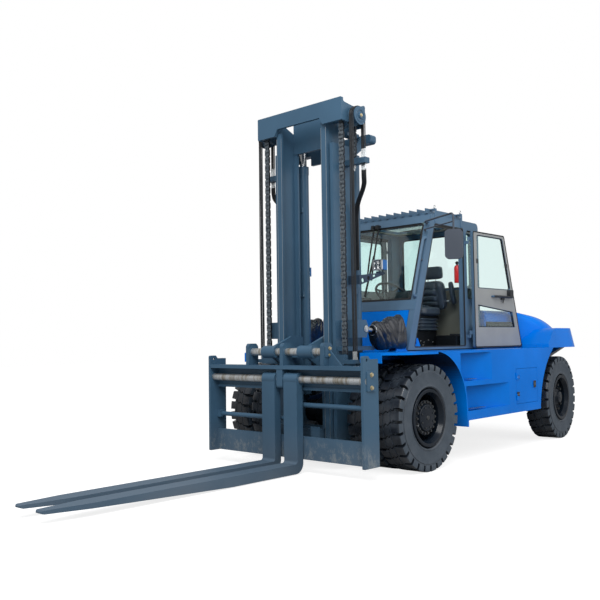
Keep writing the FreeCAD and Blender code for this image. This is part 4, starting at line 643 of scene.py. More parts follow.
def greasy_shaft():
    """Bare ground steel with bands of wiped grease and rust freckles between them."""
    material, tree, shader = new_material("ground steel shaft with grease", Metallic=0.85)
    place = add(tree, "TexCoord", {}).outputs["Object"]
    banded = add(tree, "Mapping", {0: place, 3: (20.0, 3.0, 3.0)})
    band = add(tree, "TexNoise",
               {"Vector": banded, "Scale": 1.0, "Detail": 5.0, "Roughness": 0.7})
    freckle = add(tree, "TexNoise", {"Vector": place, "Scale": 70.0, "Detail": 5.0, "Roughness": 0.75})
    wiped = add(tree, "MapRange", {0: band, 1: 0.36, 2: 0.54})
    steel = add(tree, "Mix", {0: wiped, 6: srgb("#9A9282"), 7: srgb("#CBCFD1")},
                data_type="RGBA")
    spot = add(tree, "MapRange", {0: freckle, 1: 0.57, 2: 0.66, 3: 0.0, 4: 0.6})
    rusty = add(tree, "Mix", {0: spot, 6: steel, 7: srgb("#77694F")},
                data_type="RGBA")
    gloss = add(tree, "MapRange", {0: freckle, 3: 0.28, 4: 0.6})
    connect(tree, shader, {"Base Color": rusty, "Roughness": gloss})
    return material


finish(greasy_shaft(), "fork_shafts")
chrome = dull_steel("chromed rod with oil film", "#C9CCCE", 1.0, 0.22, "#5E5848", 0.15, 25.0)
finish(chrome, "lift_rods", "tilt_rod_left", "tilt_rod_right", "steer_rod")
# Painted highlight: bright strips down both edges of each inner rail's front flange, standing also for roller
# wear
highlight_and_wear_strips = [box(x0, x1, -0.5952, -0.5944, 0.22, 3.70) for x0, x1 in ((0.3660, 0.3695), (0.2985, 0.3015))]
skin("rail_highlight_and_wear_strips", highlight_and_wear_strips + on_side(highlight_and_wear_strips, -1), bright_zinc, "mast_inner")

# ------------------------------------------------------------------ work lamps
# Square LED lamps on the mast's holed arms: a bright anodised face with four reflectors behind a clear
# lens, and a blue heat sink whose fins show at both sides.

LAMP_X, LAMP_Z = 0.5675, 2.221
CUP = [(0.0, 0.007), (0.003, 0.012), (0.010, 0.0245), (0.0115, 0.0245), (0.0115, 0.0255), (0.0, 0.0255)]
CHIP = [(0.0005, 0.0), (0.0035, 0.0), (0.0035, 0.0065), (0.0005, 0.0065)]
BEZEL = ((-0.064, 0.064, 0.053, 0.061), (-0.064, 0.064, -0.061, -0.053), (-0.064, -0.054, -0.061, 0.061),
         (0.054, 0.064, -0.061, 0.061))
FINS = ((0.0625, 0.0675), (-0.0675, -0.0625))

lamp_glass = new_material("clear polycarbonate lens", Roughness=0.05, IOR=1.58, Transmission_Weight=1.0)[0]
reflector = dull_steel("vacuum-plated reflector", "#E8EAEC", 1.0, 0.12, "#B0B4B8", 0.1)
led = new_material("LED phosphor", Roughness=0.5, Base_Color=srgb("#F3EFC8"))[0]
lamp_face = dull_steel("bright-anodised lamp face", "#D9DCDF", 0.6, 0.35, "#A9ADB2", 0.15)
heat_sink = dull_steel("blue-anodised heat sink", "#4A8AD2", 0.5, 0.35, "#1F4A7C", 0.4)


def facing(part, centre):
    """A part made along X set to point forwards (towards -Y) at a centre."""
    points = np.asarray(part[0])
    return points[:, [2, 0, 1]] * (1.0, -1.0, 1.0) + centre, part[1]


for side, hand in HANDS:
    x = side * LAMP_X
    centres = [(x + dx, 0.042, LAMP_Z + dz) for dx in (-0.026, 0.026) for dz in (-0.026, 0.026)]
    bars = [box(x + x0, x + x1, 0.026, 0.043, LAMP_Z + z0, LAMP_Z + z1) for x0, x1, z0, z1 in BEZEL]
    fins = [box(x + x0, x + x1, 0.050 + 0.011 * k, 0.050 + 0.011 * k + 0.005, 2.166, 2.276)
            for k in range(7) for x0, x1 in FINS]
    for name, parts, material in (
            ("reflectors", [facing(turned_stock(CUP, 20, 0.0, 0.0), c) for c in centres], reflector),
            ("chips", [facing(turned_stock(CHIP, 10, 0.0, 0.0), c) for c in centres], led),
            ("bezel", bars, lamp_face),
            ("lens", [box(x - 0.054, x + 0.054, 0.0285, 0.0305, 2.168, 2.274)], lamp_glass),
            ("face", [box(x - 0.0535, x + 0.0535, 0.0375, 0.0400, 2.170, 2.272)], lamp_face),
            ("fins", fins, heat_sink)):
        skin("lamp_" + name + "_" + hand, parts, material, "mast_outer")

# ------------------------------------------------------------------ tilt cylinders' boots
# Bags of black leathercloth pulled over the tilt cylinders, gathered at the rod and hanging in folds
# behind. The folds are ridges that cross the bag slantwise: deepest near the rod, with a crumple at the top
# rear corner.

TILT_X, CLIP_Y, CLIP_Z, CLIP_R = 0.605, -0.133, 1.490, 0.056
ROD_EYE_Y, ROD_EYE_Z, ROD_FALL = -0.325, 1.506, 0.0848


def boot_surface(u, v, hand):
    """Point of the bag at u along it (0 at the rod, 1 at the open end) and v round it: a rounded box
    section that grows with u, pushed in and out by slanting ridges of several sizes."""
    y = -0.140 + 0.540 * u
    a = 2 * math.pi * v
    half = np.interp(u, [0, 0.012, 0.05, 0.15, 0.35, 0.7, 1.0],
                     [0.034, 0.052, 0.058, 0.068, 0.076, 0.084, 0.080])
    low = np.interp(u, [0, 0.012, 0.03, 0.08, 0.16, 0.24, 0.5, 1.0],
                    [1.456, 1.436, 1.400, 1.352, 1.306, 1.290, 1.285, 1.275])
    high = np.interp(u, [0, 0.012, 0.06, 0.25, 0.5, 0.72, 0.90, 0.96, 1.0],
                     [1.523, 1.544, 1.562, 1.575, 1.612, 1.645, 1.668, 1.655, 1.610])
    c, s = np.cos(a), np.sin(a)
    x = half * np.sign(c) * np.abs(c) ** 0.62 * (1 - 0.22 * s)
    z = (low + high) / 2 + (high - low) / 2 * np.sign(s) * np.abs(s) ** np.where(s < 0, 0.55, 0.80)

    def ridge(t):
        """Rounded fold: a narrow crest and a wide hollow, once a unit."""
        return 2 * np.abs(np.sin(math.pi * t)) ** 0.6 - 1
    depth = np.clip(u * 9, 0.25, 1) * np.clip((1 - u) * 8, 0.2, 1)
    rise = (z - low) / (high - low)
    front = np.exp(-((u - 0.22) / 0.20) ** 2)
    corner = np.exp(-((u - 0.86) / 0.12) ** 2) * np.clip(rise * 2 - 0.9, 0, 1)
    fold = (0.0225 * front * ridge(5.4 * u + 1.7 * rise + 0.12 * np.sin(7 * u + 2 * s) + 0.2 * hand)
            + 0.0060 * front * ridge(11.0 * u + 2.9 * rise + 0.5 * hand)
            + 0.0060 * ridge(2.3 * u - 0.5 * rise + 0.6 * hand)
            + 0.0130 * corner * ridge(7.5 * u - 2.6 * rise + 0.4 * hand)
            + 0.0035 * ridge(3.1 * rise + 2.0 * u + 0.3 * np.sin(11 * u))
            + 0.0030 * np.exp(-u / 0.10) * np.sin(13 * a + hand))
    droop = 0.014 * np.sin(2 * math.pi * (1.9 * u + 0.2)) * np.clip(s, 0, 1)
    out = depth * fold
    return np.stack([x + out * c * 0.9, y + 0.35 * out, z + droop * depth + out * s * 0.6], -1)


def grained_sheet(name, first, second, relief, grain, bump, patches, film=None, **shader):
    """Embossed sheet of two tones: a noise of patches mixes them, sharpened by film where given, over a
    fine relief whose bump is (strength, depth in metres)."""
    material, tree, principled = new_material(name, **shader)
    place = add(tree, "TexCoord", {}).outputs["Object"]
    height = add(tree, relief, {"Vector": place, **grain})
    share = add(tree, "TexNoise", {"Vector": place, **patches})
    if film:
        share = add(tree, "MapRange", {0: share, **film})
    tone = add(tree, "Mix", {0: share, 6: srgb(first), 7: srgb(second)}, data_type="RGBA")
    rough = add(tree, "Bump", {"Strength": bump[0], "Distance": bump[1], "Height": height})
    connect(tree, principled, {"Base Color": tone, "Normal": rough})
    return material


# Near black with a soft sheen, pebbled, and pale dust in patches
boot_cloth = grained_sheet("PVC leathercloth", "#10161F", "#222A34", "TexVoronoi", {"Scale": 350.0},
                           (0.25, 0.0008), {"Scale": 14.0, "Detail": 6.0, "Roughness": 0.7},
                           {1: 0.45, 2: 0.72, 3: 0.0, 4: 0.5}, Roughness=0.25, IOR=1.55)
around = np.linspace(0, 2 * math.pi, 33)[:-1]
for side, hand in HANDS:
    u, v = np.meshgrid(np.linspace(0, 1, 170), np.linspace(0, 1, 120, endpoint=False), indexing="ij")
    part = lattice(boot_surface(u, v, side) + (TILT_X, 0.0, 0.0), False, True)
    boot = skin("boot_" + hand, on_side([part], side), boot_cloth, None, 60.0)
    wall = boot.modifiers.new("cloth", "SOLIDIFY")
    wall.thickness, wall.offset = 0.002, 1.0
    bpy.context.view_layer.objects.active = boot
    bpy.ops.object.modifier_apply(modifier="cloth")
    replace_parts(boot, "tilt_boot_" + hand)
    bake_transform(boot)
    loop = line_of(TILT_X + CLIP_R * np.cos(around), CLIP_Y, CLIP_Z + CLIP_R * np.sin(around))
    strap = tube(loop, 0.004, 8, (0.0, 1.0, 0.0))
    skin("boot_clip_" + hand, on_side([strap], side), bright_zinc, "tilt_rod_" + hand)
    # A turned ring on the rod, set along Y and then on the rod's slope
    gland = [(-0.292, 0), (-0.292, 0.038), (-0.274, 0.038), (-0.268, 0.034), (-0.268, 0)]
    points, faces = turned_stock(gland, 28, 0.0, 0.0)
    points = points[:, [1, 0, 2]] + (TILT_X, 0.0, 0.0)
    points[:, 2] += ROD_EYE_Z - ROD_FALL * (points[:, 1] - ROD_EYE_Y)
    skin("rod_gland_" + hand, on_side([(points, faces)], side), chrome, "tilt_rod_" + hand)

# ------------------------------------------------------------------ driver's seat
# Suspension seat: foam pads under stitched black leathercloth with sewn channels across the back, a
# separate head restraint on two steel posts, an armrest folded up beside the back, and ribbed bellows
# below.


def pad_surface(size, bulge, power, channels, nu=128, nv=110):
    """Crowned closed pad: a rounded-box surface over (round, over) angles whose faces swell outwards and
    whose front carries sewn channels; channels lists (height, depth) across the pad's own height, from -1
    to 1."""
    over, around = np.meshgrid(np.linspace(-math.pi / 2, math.pi / 2, nv),
                               np.linspace(0, 2 * math.pi, nu, endpoint=False), indexing="ij")

    def even(c, s):
        """Unit rounded square reached by stretching a circle's points outwards, which keeps them evenly
        spaced."""
        n = (np.abs(c) ** (2 / power) + np.abs(s) ** (2 / power)) ** (power / 2)
        return c / n, s / n
    r, z = even(np.cos(over), np.sin(over))
    x, y = even(np.cos(around), np.sin(around))
    x, y = r * x, r * y
    crown = 1 + bulge * (1 - x ** 2) * (1 - z ** 2)
    y = y * crown
    panel = np.clip((0.60 - np.abs(x)) / 0.05, 0, 1) * (y < 0)
    if channels:
        top, bottom = max(h for h, _ in channels), min(h for h, _ in channels)
        inside = np.clip((top + 0.06 - z) / 0.05, 0, 1) * np.clip((z - bottom + 0.06) / 0.05, 0, 1)
        y = y - 0.26 * panel * inside * (0.55 + 0.45 * np.abs(np.sin(math.pi * (z - bottom) / 0.39)) ** 0.8)
        frame_seam = np.exp(-((np.abs(x) - 0.62) / 0.030) ** 2) * (np.abs(z) < 0.9) * (y < 0)
        y = y + frame_seam * 0.40
    for height, depth in channels:
        bowed = height - 0.06 * (x / 0.6) ** 2
        y = y + np.exp(-((z - bowed) / 0.040) ** 2) * panel * depth
    points = np.stack([x * size[0], y * size[1], z * size[2]], -1)
    return lattice(points, False, True)


def set_pad(part, centre, lean):
    """Leans a pad back by an angle about X and moves it to its centre."""
    c, s = math.cos(lean), math.sin(lean)
    return np.asarray(part[0]) @ np.array(((1, 0, 0), (0, c, -s), (0, s, c))) + centre, part[1]


# Black with a low sheen, a fine pebble and a paler tone in random patches
seat_black = grained_sheet("seat leathercloth", "#2C3742", "#43505D", "TexVoronoi", {"Scale": 420.0},
                           (0.3, 0.0006), {"Scale": 9.0, "Detail": 3.0}, Roughness=0.32, IOR=1.5)
SEAT_PLACE = np.array((0.055, 0.035, 0.0))
SIT = (0.0, 1.545, 1.745)
ribs = [(-0.62, 0.42), (-0.28, 0.50), (0.12, 0.50), (0.55, 0.42)]
back = set_pad(pad_surface((0.236, 0.060, 0.196), 0.30, 0.36, ribs), (0.0, 1.840, 1.958), -0.235)
# The cushion is a pad laid on its back
points, faces = pad_surface((0.235, 0.055, 0.248), 0.30, 0.40, [(-0.45, 0.22), (0.0, 0.22), (0.45, 0.22)])
cushion = points[:, [0, 2, 1]] * (1.0, 1.0, -1.0) + SIT, faces
head = set_pad(pad_surface((0.150, 0.037, 0.086), 0.28, 0.36, []), (0.0, 1.918, 2.272), -0.10)
arm = set_pad(pad_surface((0.025, 0.036, 0.155), 0.20, 0.45, []), (0.310, 1.905, 1.985), -0.30)
seat_pads = []
for name, pad, tight in (("seat_back", back, 0.8), ("seat_cushion", cushion, 0.8),
                         ("head_restraint", head, 0.9), ("armrest", arm, 0.9)):
    piece = skin(name, [(pad[0] + SEAT_PLACE, pad[1])], seat_black, "chassis", 70.0)
    seat_pads.append(piece)
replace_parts(seat_pads[0], "driver_seat")
posts = [tube([(x, 1.893, 2.10), (x, 1.908, 2.215)], 0.007, 10) for x in (-0.06, 0.06)]
posts.append(prism_x(corners_of(16, 0.016, 1.862, 1.880), 0.215, 0.292))
skin("head_posts", [(points + SEAT_PLACE, faces) for points, faces in posts], chrome, "chassis")


def squared(c, power=0.35):
    """Cosine or sine pushed towards a square."""
    return np.sign(c) * np.abs(c) ** power


# Bellows: a rounded square that swells and shrinks three and a half times on its way up, closed at both
# ends
BELLOWS_X, BELLOWS_Y = 0.03, 1.572
fold = np.linspace(0, 1, 41)[:, None]
rib = 0.013 * np.sin(2 * math.pi * 3.5 * fold)
around = np.linspace(0, 2 * math.pi, 72, endpoint=False)
x = BELLOWS_X + (0.218 + rib) * squared(np.cos(around))
y = BELLOWS_Y + (0.229 + rib) * squared(np.sin(around))
grown = np.stack(np.broadcast_arrays(x, y, 1.497 + 0.155 * fold), -1)
ends = grown[[0, -1]] * (0, 0, 1) + (0, BELLOWS_Y, 0)
bellows = lattice(np.concatenate([ends[:1], grown, ends[1:]]), False, True)
skin("seat_bellows", [bellows], seat_black, "chassis", 60.0)

# ------------------------------------------------------------------ cab glass, seals, linings and fittings
# Green-tinted toughened panes held by black rubber sections, beige-grey moulded linings on doors, rear wall
# and roof, and the loose fittings: wipers, extinguisher, lever knobs, pedals and horn cap.

CAB_FOOT, HINGE_X, HINGE_Y, SWING = 1.262, 0.697, 1.800, math.radians(178.0)
tinted_glass = new_material("tinted toughened glass", Roughness=0.02, IOR=1.5, Transmission_Weight=1.0,
                            Base_Color=srgb("#E2F6F4"))[0]
finish(tinted_glass, "cab_glass", "door_glass_left", "door_glass_right")
seal_rubber = new_material("extruded seal rubber", Roughness=0.6, Base_Color=srgb("#14171A"))[0]
soft_black = new_material("moulded black plastic", Roughness=0.5, Base_Color=srgb("#1D2126"))[0]


def bead(loop, half_out, half_in, width):
    """Closed rectangular strip that follows a loop of 3-D points, given its in-plane and across half
    sizes."""
    loop = np.asarray(loop, float)
    ahead = np.roll(loop, -1, 0) - np.roll(loop, 1, 0)
    ahead /= np.linalg.norm(ahead, axis=1, keepdims=True)
    flat = np.cross(loop[0] - loop[len(loop) // 3], loop[0] - loop[2 * len(loop) // 3])
    flat /= np.linalg.norm(flat)
    inward = np.cross(flat, ahead)
    sides = ((half_out, width), (half_in, width), (half_in, -width), (half_out, -width))
    corners = [loop + inward * a + flat * b for a, b in sides]
    return lattice(np.stack(corners, 1), True, True)


def cab_face(z):
    """Front face of the A-pillar at a height."""
    return 0.474 + 0.511 * (z - CAB_FOOT) / 1.538


def door_front(z, inset):
    """Leaning front edge of a closed left door at a height."""
    return HINGE_Y - 0.010 - (1.235 - 0.41 * (z - CAB_FOOT) / 1.497) + inset


def door_line(z_front, z_back, fronts, back, inset, hinge):
    """Corners (y, z) of an opening or an edge in a door, drawn in by an inset. The front ones go forward by
    as much as the hinge stands behind the left door's."""
    z0, z3 = z_front
    z1, z2 = z_back
    shift = hinge - HINGE_Y
    y = hinge - 0.045 - back - inset
    return np.array([(door_front(z0, fronts) + inset - shift, z0 + inset), (y, z1 + inset), (y, z2 - inset),
                     (door_front(z3, fronts) + inset - shift, z3 - inset)])


def swung(points):
    """Left door points turned open about the hinge line."""
    c, s = math.cos(SWING), math.sin(SWING)
    x, y, z = (np.asarray(points, float) - (HINGE_X, HINGE_Y, 0.0)).T
    return np.stack([x * c - y * s + HINGE_X, x * s + y * c + HINGE_Y, z], -1)


def hung(parts, body):
    """Parts of a closed left door as they hang: swung open on the left, mirrored on the right."""
    if body == "cab_door_right":
        return on_side(parts, -1)
    return [(swung(points), faces) for points, faces in parts]


def at_x(x, outline):
    """(y, z) outline set at an x."""
    return line_of(x, *np.asarray(outline, float).T)


def holed_panel(outer, holes, x0, x1):
    """Thin panel with round-cornered openings: each hole and the rim are bridged as one triangulated face a
    side."""
    work = bmesh.new()
    rings = []
    for loop in [outer] + holes:
        verts = [work.verts.new((x0, y, z)) for y, z in loop]
        rings.append([work.edges.new((verts[i], verts[(i + 1) % len(verts)])) for i in range(len(verts))])
    bmesh.ops.triangle_fill(work, edges=[e for ring in rings for e in ring], use_beauty=True)
    made = bmesh.ops.extrude_face_region(work, geom=work.faces[:])
    moved = [v for v in made["geom"] if isinstance(v, bmesh.types.BMVert)]
    bmesh.ops.translate(work, verts=moved, vec=(x1 - x0, 0, 0))
    work.verts.index_update()
    points = np.array([v.co[:] for v in work.verts])
    faces = [[v.index for v in f.verts] for f in work.faces]
    work.free()
    return points, faces


def lining(part, clean, soiled):
    """Vacuum-formed ABS with a fine leather grain and hand marks."""
    return grained_sheet("vacuum-formed ABS " + part, clean, soiled, "TexNoise",
                         {"Scale": 300.0, "Detail": 2.0}, (0.2, 0.0006), {"Scale": 5.0, "Detail": 4.0},
                         Roughness=0.55)


grey_lining = lining("door lining", "#989A99", "#86898A")
olive_lining = lining("rear lining", "#77796F", "#656A66")
roof_lining = lining("roof lining", "#A9A391", "#98937F")
DOORS = (("cab_door_left", HINGE_Y), ("cab_door_right", 1.950))
for body, hinge in DOORS:
    upper = door_line((2.034, 2.720), (2.034, 2.720), 0.065, 0.090, -0.004, hinge)
    lower = door_line((1.532, 1.738), (1.532, 1.818), 0.110, 0.092, -0.004, hinge)
    outer = door_line((1.285, 2.748), (1.285, 2.748), 0.022, 0.018, 0.0, hinge)
    panel = holed_panel(rounded(outer, 0.03), [rounded(upper, 0.04), rounded(lower, 0.014)], 0.6548, 0.6522)
    seals = [bead(at_x(0.6690, rounded(light, radius, 6)), -0.003, 0.012, 0.011)
             for light, radius in ((upper, 0.04), (lower, 0.014))]
    edge = rounded(door_line((1.268, 2.764), (1.268, 2.764), 0.004, 0.004, 0.0, hinge), 0.028)
    seals.append(bead(at_x(0.6548, edge), 0.0, 0.014, 0.004))
    skin(body + "_skin", hung([panel], body), grey_lining, body)
    skin(body + "_seals", hung(seals, body), seal_rubber, body)

low, high = cab_face(1.852) + 0.019, cab_face(2.796) + 0.019
screen = [(-0.566, low, 1.854), (0.566, low, 1.854), (0.566, high, 2.796), (-0.566, high, 2.796)]
rear_pane = [(x, 2.117, z) for x, z in rectangle(-0.53, 0.53, 2.055, 2.78)]
quarter_pane = at_x(0.626, rounded(rectangle(1.836, 2.085, 1.890, 2.780), 0.04, 6))
doorway = rounded([(cab_face(1.292) + 0.122, 1.292), (1.765, 1.292), (1.765, 2.790),
                   (cab_face(2.790) + 0.116, 2.790)], 0.03, 5)
skin("cab_seals", [bead(rounded(screen, 0.05, 6), -0.002, 0.022, 0.006),
                   bead(rounded(rear_pane, 0.06, 6), -0.016, 0.016, 0.012),
                   bead(quarter_pane, -0.012, 0.012, 0.010),
                   bead(at_x(0.6440, doorway), -0.004, 0.010, 0.007),
                   box(0.632, 0.642, 1.098, 1.765, 2.750, 2.792),
                   mirror_x(box(0.632, 0.642, 1.098, 1.915, 2.750, 2.792))], seal_rubber, "chassis", 40.0)

points, faces = holed_panel(rounded(rectangle(-0.565, 0.565, 1.275, 2.035), 0.02), [], 2.094, 2.088)
skin("rear_lining", [(points[:, [1, 0, 2]], faces)], olive_lining, "chassis")
points, faces = holed_panel(rounded(rectangle(-0.565, 0.565, 1.10, 2.088), 0.02),
                            [rounded(rectangle(-0.482, 0.482, 1.148, 1.952), 0.05)], 2.849, 2.841)
skin("roof_lining", [(points[:, [1, 2, 0]], faces)], roof_lining, "chassis")
slots = [box(0.320 + 0.022 * i, 0.332 + 0.022 * i, 1.950, 1.956, 1.330, 1.425) for i in range(10)]
skin("blower_box", [box(0.300, 0.555, 1.955, 2.086, 1.292, 1.452, 0.02)] + slots, soft_black, "chassis")
slats = [box(-0.20 + 0.036 * i, -0.178 + 0.036 * i, 1.70, 1.90, 2.833, 2.842) for i in range(11)]
ends = [box(-0.215, 0.215, y, y + 0.02, 2.832, 2.843) for y in (1.68, 1.90)]
skin("roof_vent", slats + ends, soft_black, "chassis")

wiper = []
for x in (-0.165, -0.095):
    z = np.linspace(2.80, 2.12, 12)
    line = line_of(x + 0.06 * (2.80 - z), cab_face(z) - 0.018 - 0.012 * np.sin((z - 2.12) * 4.6), z)
    wiper.append(tube(line, 0.0105, 8))
    pivot = [(0.915, 2.785), (0.985, 2.785), (0.990, 2.830), (0.925, 2.835)]
    wiper.append(prism_x(pivot, x - 0.020, x + 0.020))
z = np.linspace(2.44, 1.92, 12)
wiper.append(tube(line_of(-0.105 - 0.05 * (2.44 - z), cab_face(z) + 0.004, z), 0.0125, 8))
skin("wipers", wiper, seal_rubber, "chassis")

BOTTLE_X, BOTTLE_Y = 0.530, 1.800
red = new_material("red stoved enamel", Roughness=0.3, Base_Color=srgb("#CC1F22"))[0]
bottle = upright([(2.105, 0), (2.105, 0.036), (2.112, 0.040), (2.300, 0.040), (2.325, 0.030), (2.335, 0.014),
                  (2.335, 0)], 28, BOTTLE_X, BOTTLE_Y)
skin("extinguisher_bottle", [bottle], red, "chassis")
valve = upright([(2.335, 0), (2.335, 0.013), (2.352, 0.013), (2.352, 0.020), (2.372, 0.020), (2.372, 0)],
                14, BOTTLE_X, BOTTLE_Y)
handle = prism_x([(1.755, 2.360), (1.800, 2.352), (1.825, 2.372), (1.800, 2.385)], 0.522, 0.538)
skin("extinguisher_valve", [valve, handle, box(0.50, 0.56, 1.842, 1.850, 2.16, 2.28)], seal_rubber, "chassis")

finish(soft_black, "dashboard", "steering_wheel")
finish(painted_steel("grey mirror shells", "#4B525D", "#2B3037", "#6A6C6E", 0.42, 0.3, 0.2), "mirrors")
KNOB = [(-0.020, 0), (-0.019, 0.008), (-0.008, 0.018), (0.008, 0.018), (0.018, 0.010), (0.020, 0)]
knobs = [upright(KNOB, 16, x, 1.428, 2.035) for x in (-0.44, -0.39, -0.34)]
PEDAL = [(0.905, 1.330), (0.920, 1.322), (0.985, 1.452), (0.972, 1.462)]
PEDAL_ARM = [(0.80, 1.40), (0.80, 1.415), (0.955, 1.420), (0.955, 1.405)]
for x in (0.10, -0.10, -0.26):
    knobs += [prism_x(PEDAL, x - 0.035, x + 0.035), prism_x(PEDAL_ARM, x - 0.008, x + 0.008)]
skin("knobs_and_pedals", knobs, soft_black, "chassis")
# The horn's cap stands on the wheel's hub, square to the wheel
points, faces = turned_stock([(0.0, 0), (0.0, 0.045), (0.012, 0.038), (0.014, 0)], 24, 0.0, 0.0)
column, across = np.array((0.0, 0.617822, 0.786318)), np.array((1.0, 0.0, 0.0))
hub = np.array((0.0, 1.060 + 0.0309, 1.940 + 0.0393)) - column * 0.010
points = hub + column * points[:, :1] + across * points[:, 1:2] + np.cross(column, across) * points[:, 2:3]
skin("horn_cap", [(points, faces)], seal_rubber, "steering_wheel")

# ------------------------------------------------------------------ body fittings
# Small parts bolted or riveted on the sprayed body: latches and strap hinges of the tool box doors, ribbed
# step treads, louvres in the engine cover's sides, lifting eyes on the guard and the seat's bolts.

STRAP_Z = (0.690, 0.900)


def swap_yx(part):
    """The same part with its X and Y exchanged."""
    return np.asarray(part[0])[:, [1, 0, 2]], part[1]


for side, hand in HANDS:
    pan = [box(1.2405, 1.2442, 2.400, 2.468, 0.752, 0.838, 0.012),
           box(1.2440, 1.2454, 2.414, 2.454, 0.770, 0.822, 0.010)]
    straps = [box(1.2405, 1.2445, 1.952, 2.012, z - 0.026, z + 0.026, 0.006) for z in STRAP_Z]
    screws = [p for z in STRAP_Z for y in (1.965, 1.999) for p in bolt_x(1.2445, 1.2464, y, z, 0.006, False)]
    for name, parts, material in (
            ("door_latch_", pan, soft_black),
            ("latch_paddle_", [box(1.2450, 1.2464, 2.430, 2.438, 0.775, 0.815, 0.003)], bright_zinc),
            ("door_straps_", straps, soft_black),
            ("strap_screws_", screws, bright_zinc)):
        skin(name + hand, on_side(parts, side), material, "side_door_" + hand)


def tread_plate(x0, x1, y0, y1, z, pitch=0.022):
    """Anti-slip step: rows of short raised bars on a plate."""
    parts = [box(x0, x1, y0, y1, z - 0.003, z + 0.001)]
    for row, y in enumerate(np.arange(y0 + pitch, y1 - pitch / 2, pitch)):
        start = x0 + 0.008 + pitch * (row % 2) / 2
        parts += [box(x, x + 0.014, y - 0.003, y + 0.003, z, z + 0.003)
                  for x in np.arange(start, x1 - 0.016, pitch)]
    return parts


bare_plate = dull_steel("worn chequered plate", "#2F5E9C", 0.2, 0.45, "#27405F", 0.5, 40.0)
for side, hand in HANDS:
    treads = tread_plate(1.168, 1.238, 0.812, 1.178, 0.594) + tread_plate(1.168, 1.238, 0.792, 0.988, 0.929)
    skin("step_treads_" + hand, on_side(treads, side), bare_plate, "chassis")
    blades = []
    for z in np.arange(1.325, 1.585, 0.026):
        section = [(0.689, z), (0.704, z - 0.006), (0.7045, z - 0.003), (0.689, z + 0.020)]
        blades.append(swap_yx(prism_x(section, 2.235, 2.975)))
    blades.append(box(0.6895, 0.693, 2.215, 2.995, 1.300, 1.605, 0.02))
    skin("louvre_panel_" + hand, on_side(blades, side), black_enamel, "chassis")

EYE_X, EYE_Z, EYE_R = 0.640, 3.000, 0.017
SHANK = [(2.925, 0), (2.925, 0.016), (2.938, 0.016), (2.938, 0.007), (2.986, 0.007), (2.986, 0)]
around = np.linspace(0, 2 * math.pi, 25)[:-1]
eyes = [tube(line_of(EYE_X, y + EYE_R * np.cos(around), EYE_Z + EYE_R * np.sin(around)), 0.005, 8)
        for y in (1.12, 1.72)]
shanks = [upright(SHANK, 14, EYE_X, y) for y in (1.12, 1.72)]
skin("guard_eye_bolts", eyes + shanks, bright_zinc, "chassis")

fasteners("seat_base_bolts", "chassis", bright_zinc, [
    (0.199, 0.206, y, z, 0.008)
    for y, z in ((1.36, 1.335), (1.42, 1.362), (1.50, 1.345), (1.60, 1.372), (1.70, 1.350), (1.47, 1.308))])

# ------------------------------------------------------------------ door and pillar furniture
# Rubber-sleeved grip bar with its lock lever on the door's inner face, glass catches, and grab tubes in the
# cab's enamel on the pillars.

GRIP_X, GRIP_Z, GRAB_X, GRAB_LOW, GRAB_HIGH = 0.615, 1.935, 0.628, 1.900, 2.600
for body, hinge in DOORS:
    bar = [(0.648, 1.330, GRIP_Z)] + [(GRIP_X, y, GRIP_Z) for y in (1.330, 1.180, 1.000, 0.862)]
    crank = [(0.650, 1.06, 1.925), (0.632, 1.06, 1.905), (0.625, 1.085, 1.865), (0.625, 1.09, 1.850)]
    handles = [tube(eased(bar, 2), 0.0155, 12), tube(eased(crank, 2), 0.007, 8)]
    lock = [box(0.600, 0.652, 0.846, 0.933, 1.945, 2.032, 0.014),
            box(0.628, 0.650, 1.035, 1.110, 1.895, 1.925, 0.008)]
    catches = [box(0.6515, 0.664, 1.640, 1.690, 2.350, 2.410, 0.008),
               box(0.6515, 0.664, 0.905, 0.955, 2.330, 2.385, 0.008)]
    shift = (0.0, hinge - HINGE_Y, 0.0)
    parts = [(points + shift, faces) for points, faces in handles + lock + catches]
    skin(body + "_furniture", hung(parts, body), soft_black, body)

middle = (GRAB_LOW + GRAB_HIGH) / 2
grab = [(GRAB_HIGH, 0.010, 0.0), (GRAB_HIGH, -0.040, -0.005), (GRAB_HIGH - 0.06, -0.046, 0.0),
        (middle, -0.046, 0.0), (GRAB_LOW + 0.05, -0.046, 0.0), (GRAB_LOW, -0.040, -0.005),
        (GRAB_LOW, 0.010, -0.012)]
grabs = [tube(eased([(GRAB_X, cab_face(z) + out, z + up) for z, out, up in grab], 2), 0.0185, 14)]
skin("pillar_grab_tubes", grabs + on_side(grabs, -1), cab_enamel, "chassis")

# ------------------------------------------------------------------ studio
# Pale seamless floor under large soft lamps, white behind. The floor keeps the truck's shadow.


def soft_lamp(name, size, energy, place, aim):
    """Square area lamp aimed at a point."""
    lamp = bpy.data.lights.new(name, "AREA")
    lamp.shape, lamp.size, lamp.energy = "SQUARE", size, energy
    stand = bpy.data.objects.new(name, lamp)
    bpy.context.collection.objects.link(stand)
    stand.location = place
    stand.rotation_euler = (Vector(aim) - Vector(place)).to_track_quat("-Z", "Y").to_euler()


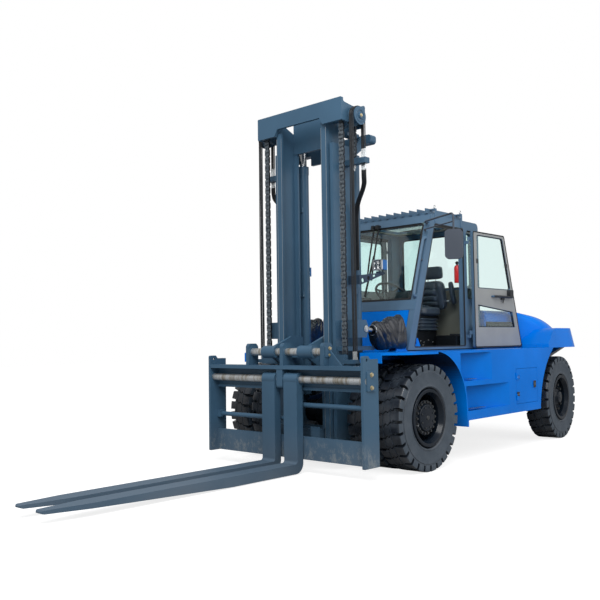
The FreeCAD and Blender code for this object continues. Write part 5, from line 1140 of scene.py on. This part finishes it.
def camera_sees(tree):
    """Output that is 1 for rays that come straight or through glass from the camera."""
    ray = add(tree, "LightPath", {})
    return add(tree, "Math", {0: ray.outputs["Is Camera Ray"], 1: ray.outputs["Is Transmission Ray"]},
               operation="MAXIMUM")


def white_surround():
    """World that lights the truck softly and shows pure white to the camera, also through glass."""
    world = bpy.data.worlds.new("white surround")
    bpy.context.scene.world = world
    world.use_nodes = True
    tree = world.node_tree
    level = add(tree, "MapRange", {0: camera_sees(tree), 3: 0.54, 4: 1.0})
    shell = tree.nodes["Background"]
    shell.inputs["Color"].default_value = (1.0, 1.0, 1.0, 1.0)
    connect(tree, shell, {"Strength": level})


def studio_floor():
    """White to the camera, darkened only where the truck shades it."""
    mesh = bpy.data.meshes.new("floor")
    mesh.from_pydata([(-40, -40, 0), (40, -40, 0), (40, 40, 0), (-40, 40, 0)], [], [(0, 1, 2, 3)])
    floor = bpy.data.objects.new("floor", mesh)
    bpy.context.collection.objects.link(floor)
    material, tree, shader = new_material(
        "white floor", Roughness=0.85, Specular_IOR_Level=0.0, Base_Color=(0.40, 0.40, 0.40, 1.0),
        Emission_Color=(1.0, 1.0, 1.0, 1.0))
    glow = add(tree, "Math", {0: camera_sees(tree), 1: 0.80}, operation="MULTIPLY")
    connect(tree, shader, {"Emission Strength": glow})
    mesh.materials.append(material)


studio_floor()
white_surround()
soft_lamp("key", 6.0, 860.0, (4.0, -6.0, 8.5), (0.0, 0.0, 1.2))
soft_lamp("fill", 8.0, 300.0, (8.5, 3.0, 5.0), (0.0, 1.0, 1.2))

bpy.context.scene.view_settings.view_transform = "Standard"
lens = bpy.data.cameras.new("camera")
lens.lens, lens.sensor_width = 46.03, 36.0
camera = bpy.data.objects.new("camera", lens)
bpy.context.collection.objects.link(camera)
yaw, pitch, roll = (math.radians(a) for a in (42.387, 3.065, -0.787))
camera.matrix_world = (Matrix.Translation((5.6863, -7.0951, 1.3822)) @ Matrix.Rotation(yaw, 4, "Z")
                       @ Matrix.Rotation(math.pi / 2 + pitch, 4, "X") @ Matrix.Rotation(roll, 4, "Z"))
bpy.context.scene.camera = camera
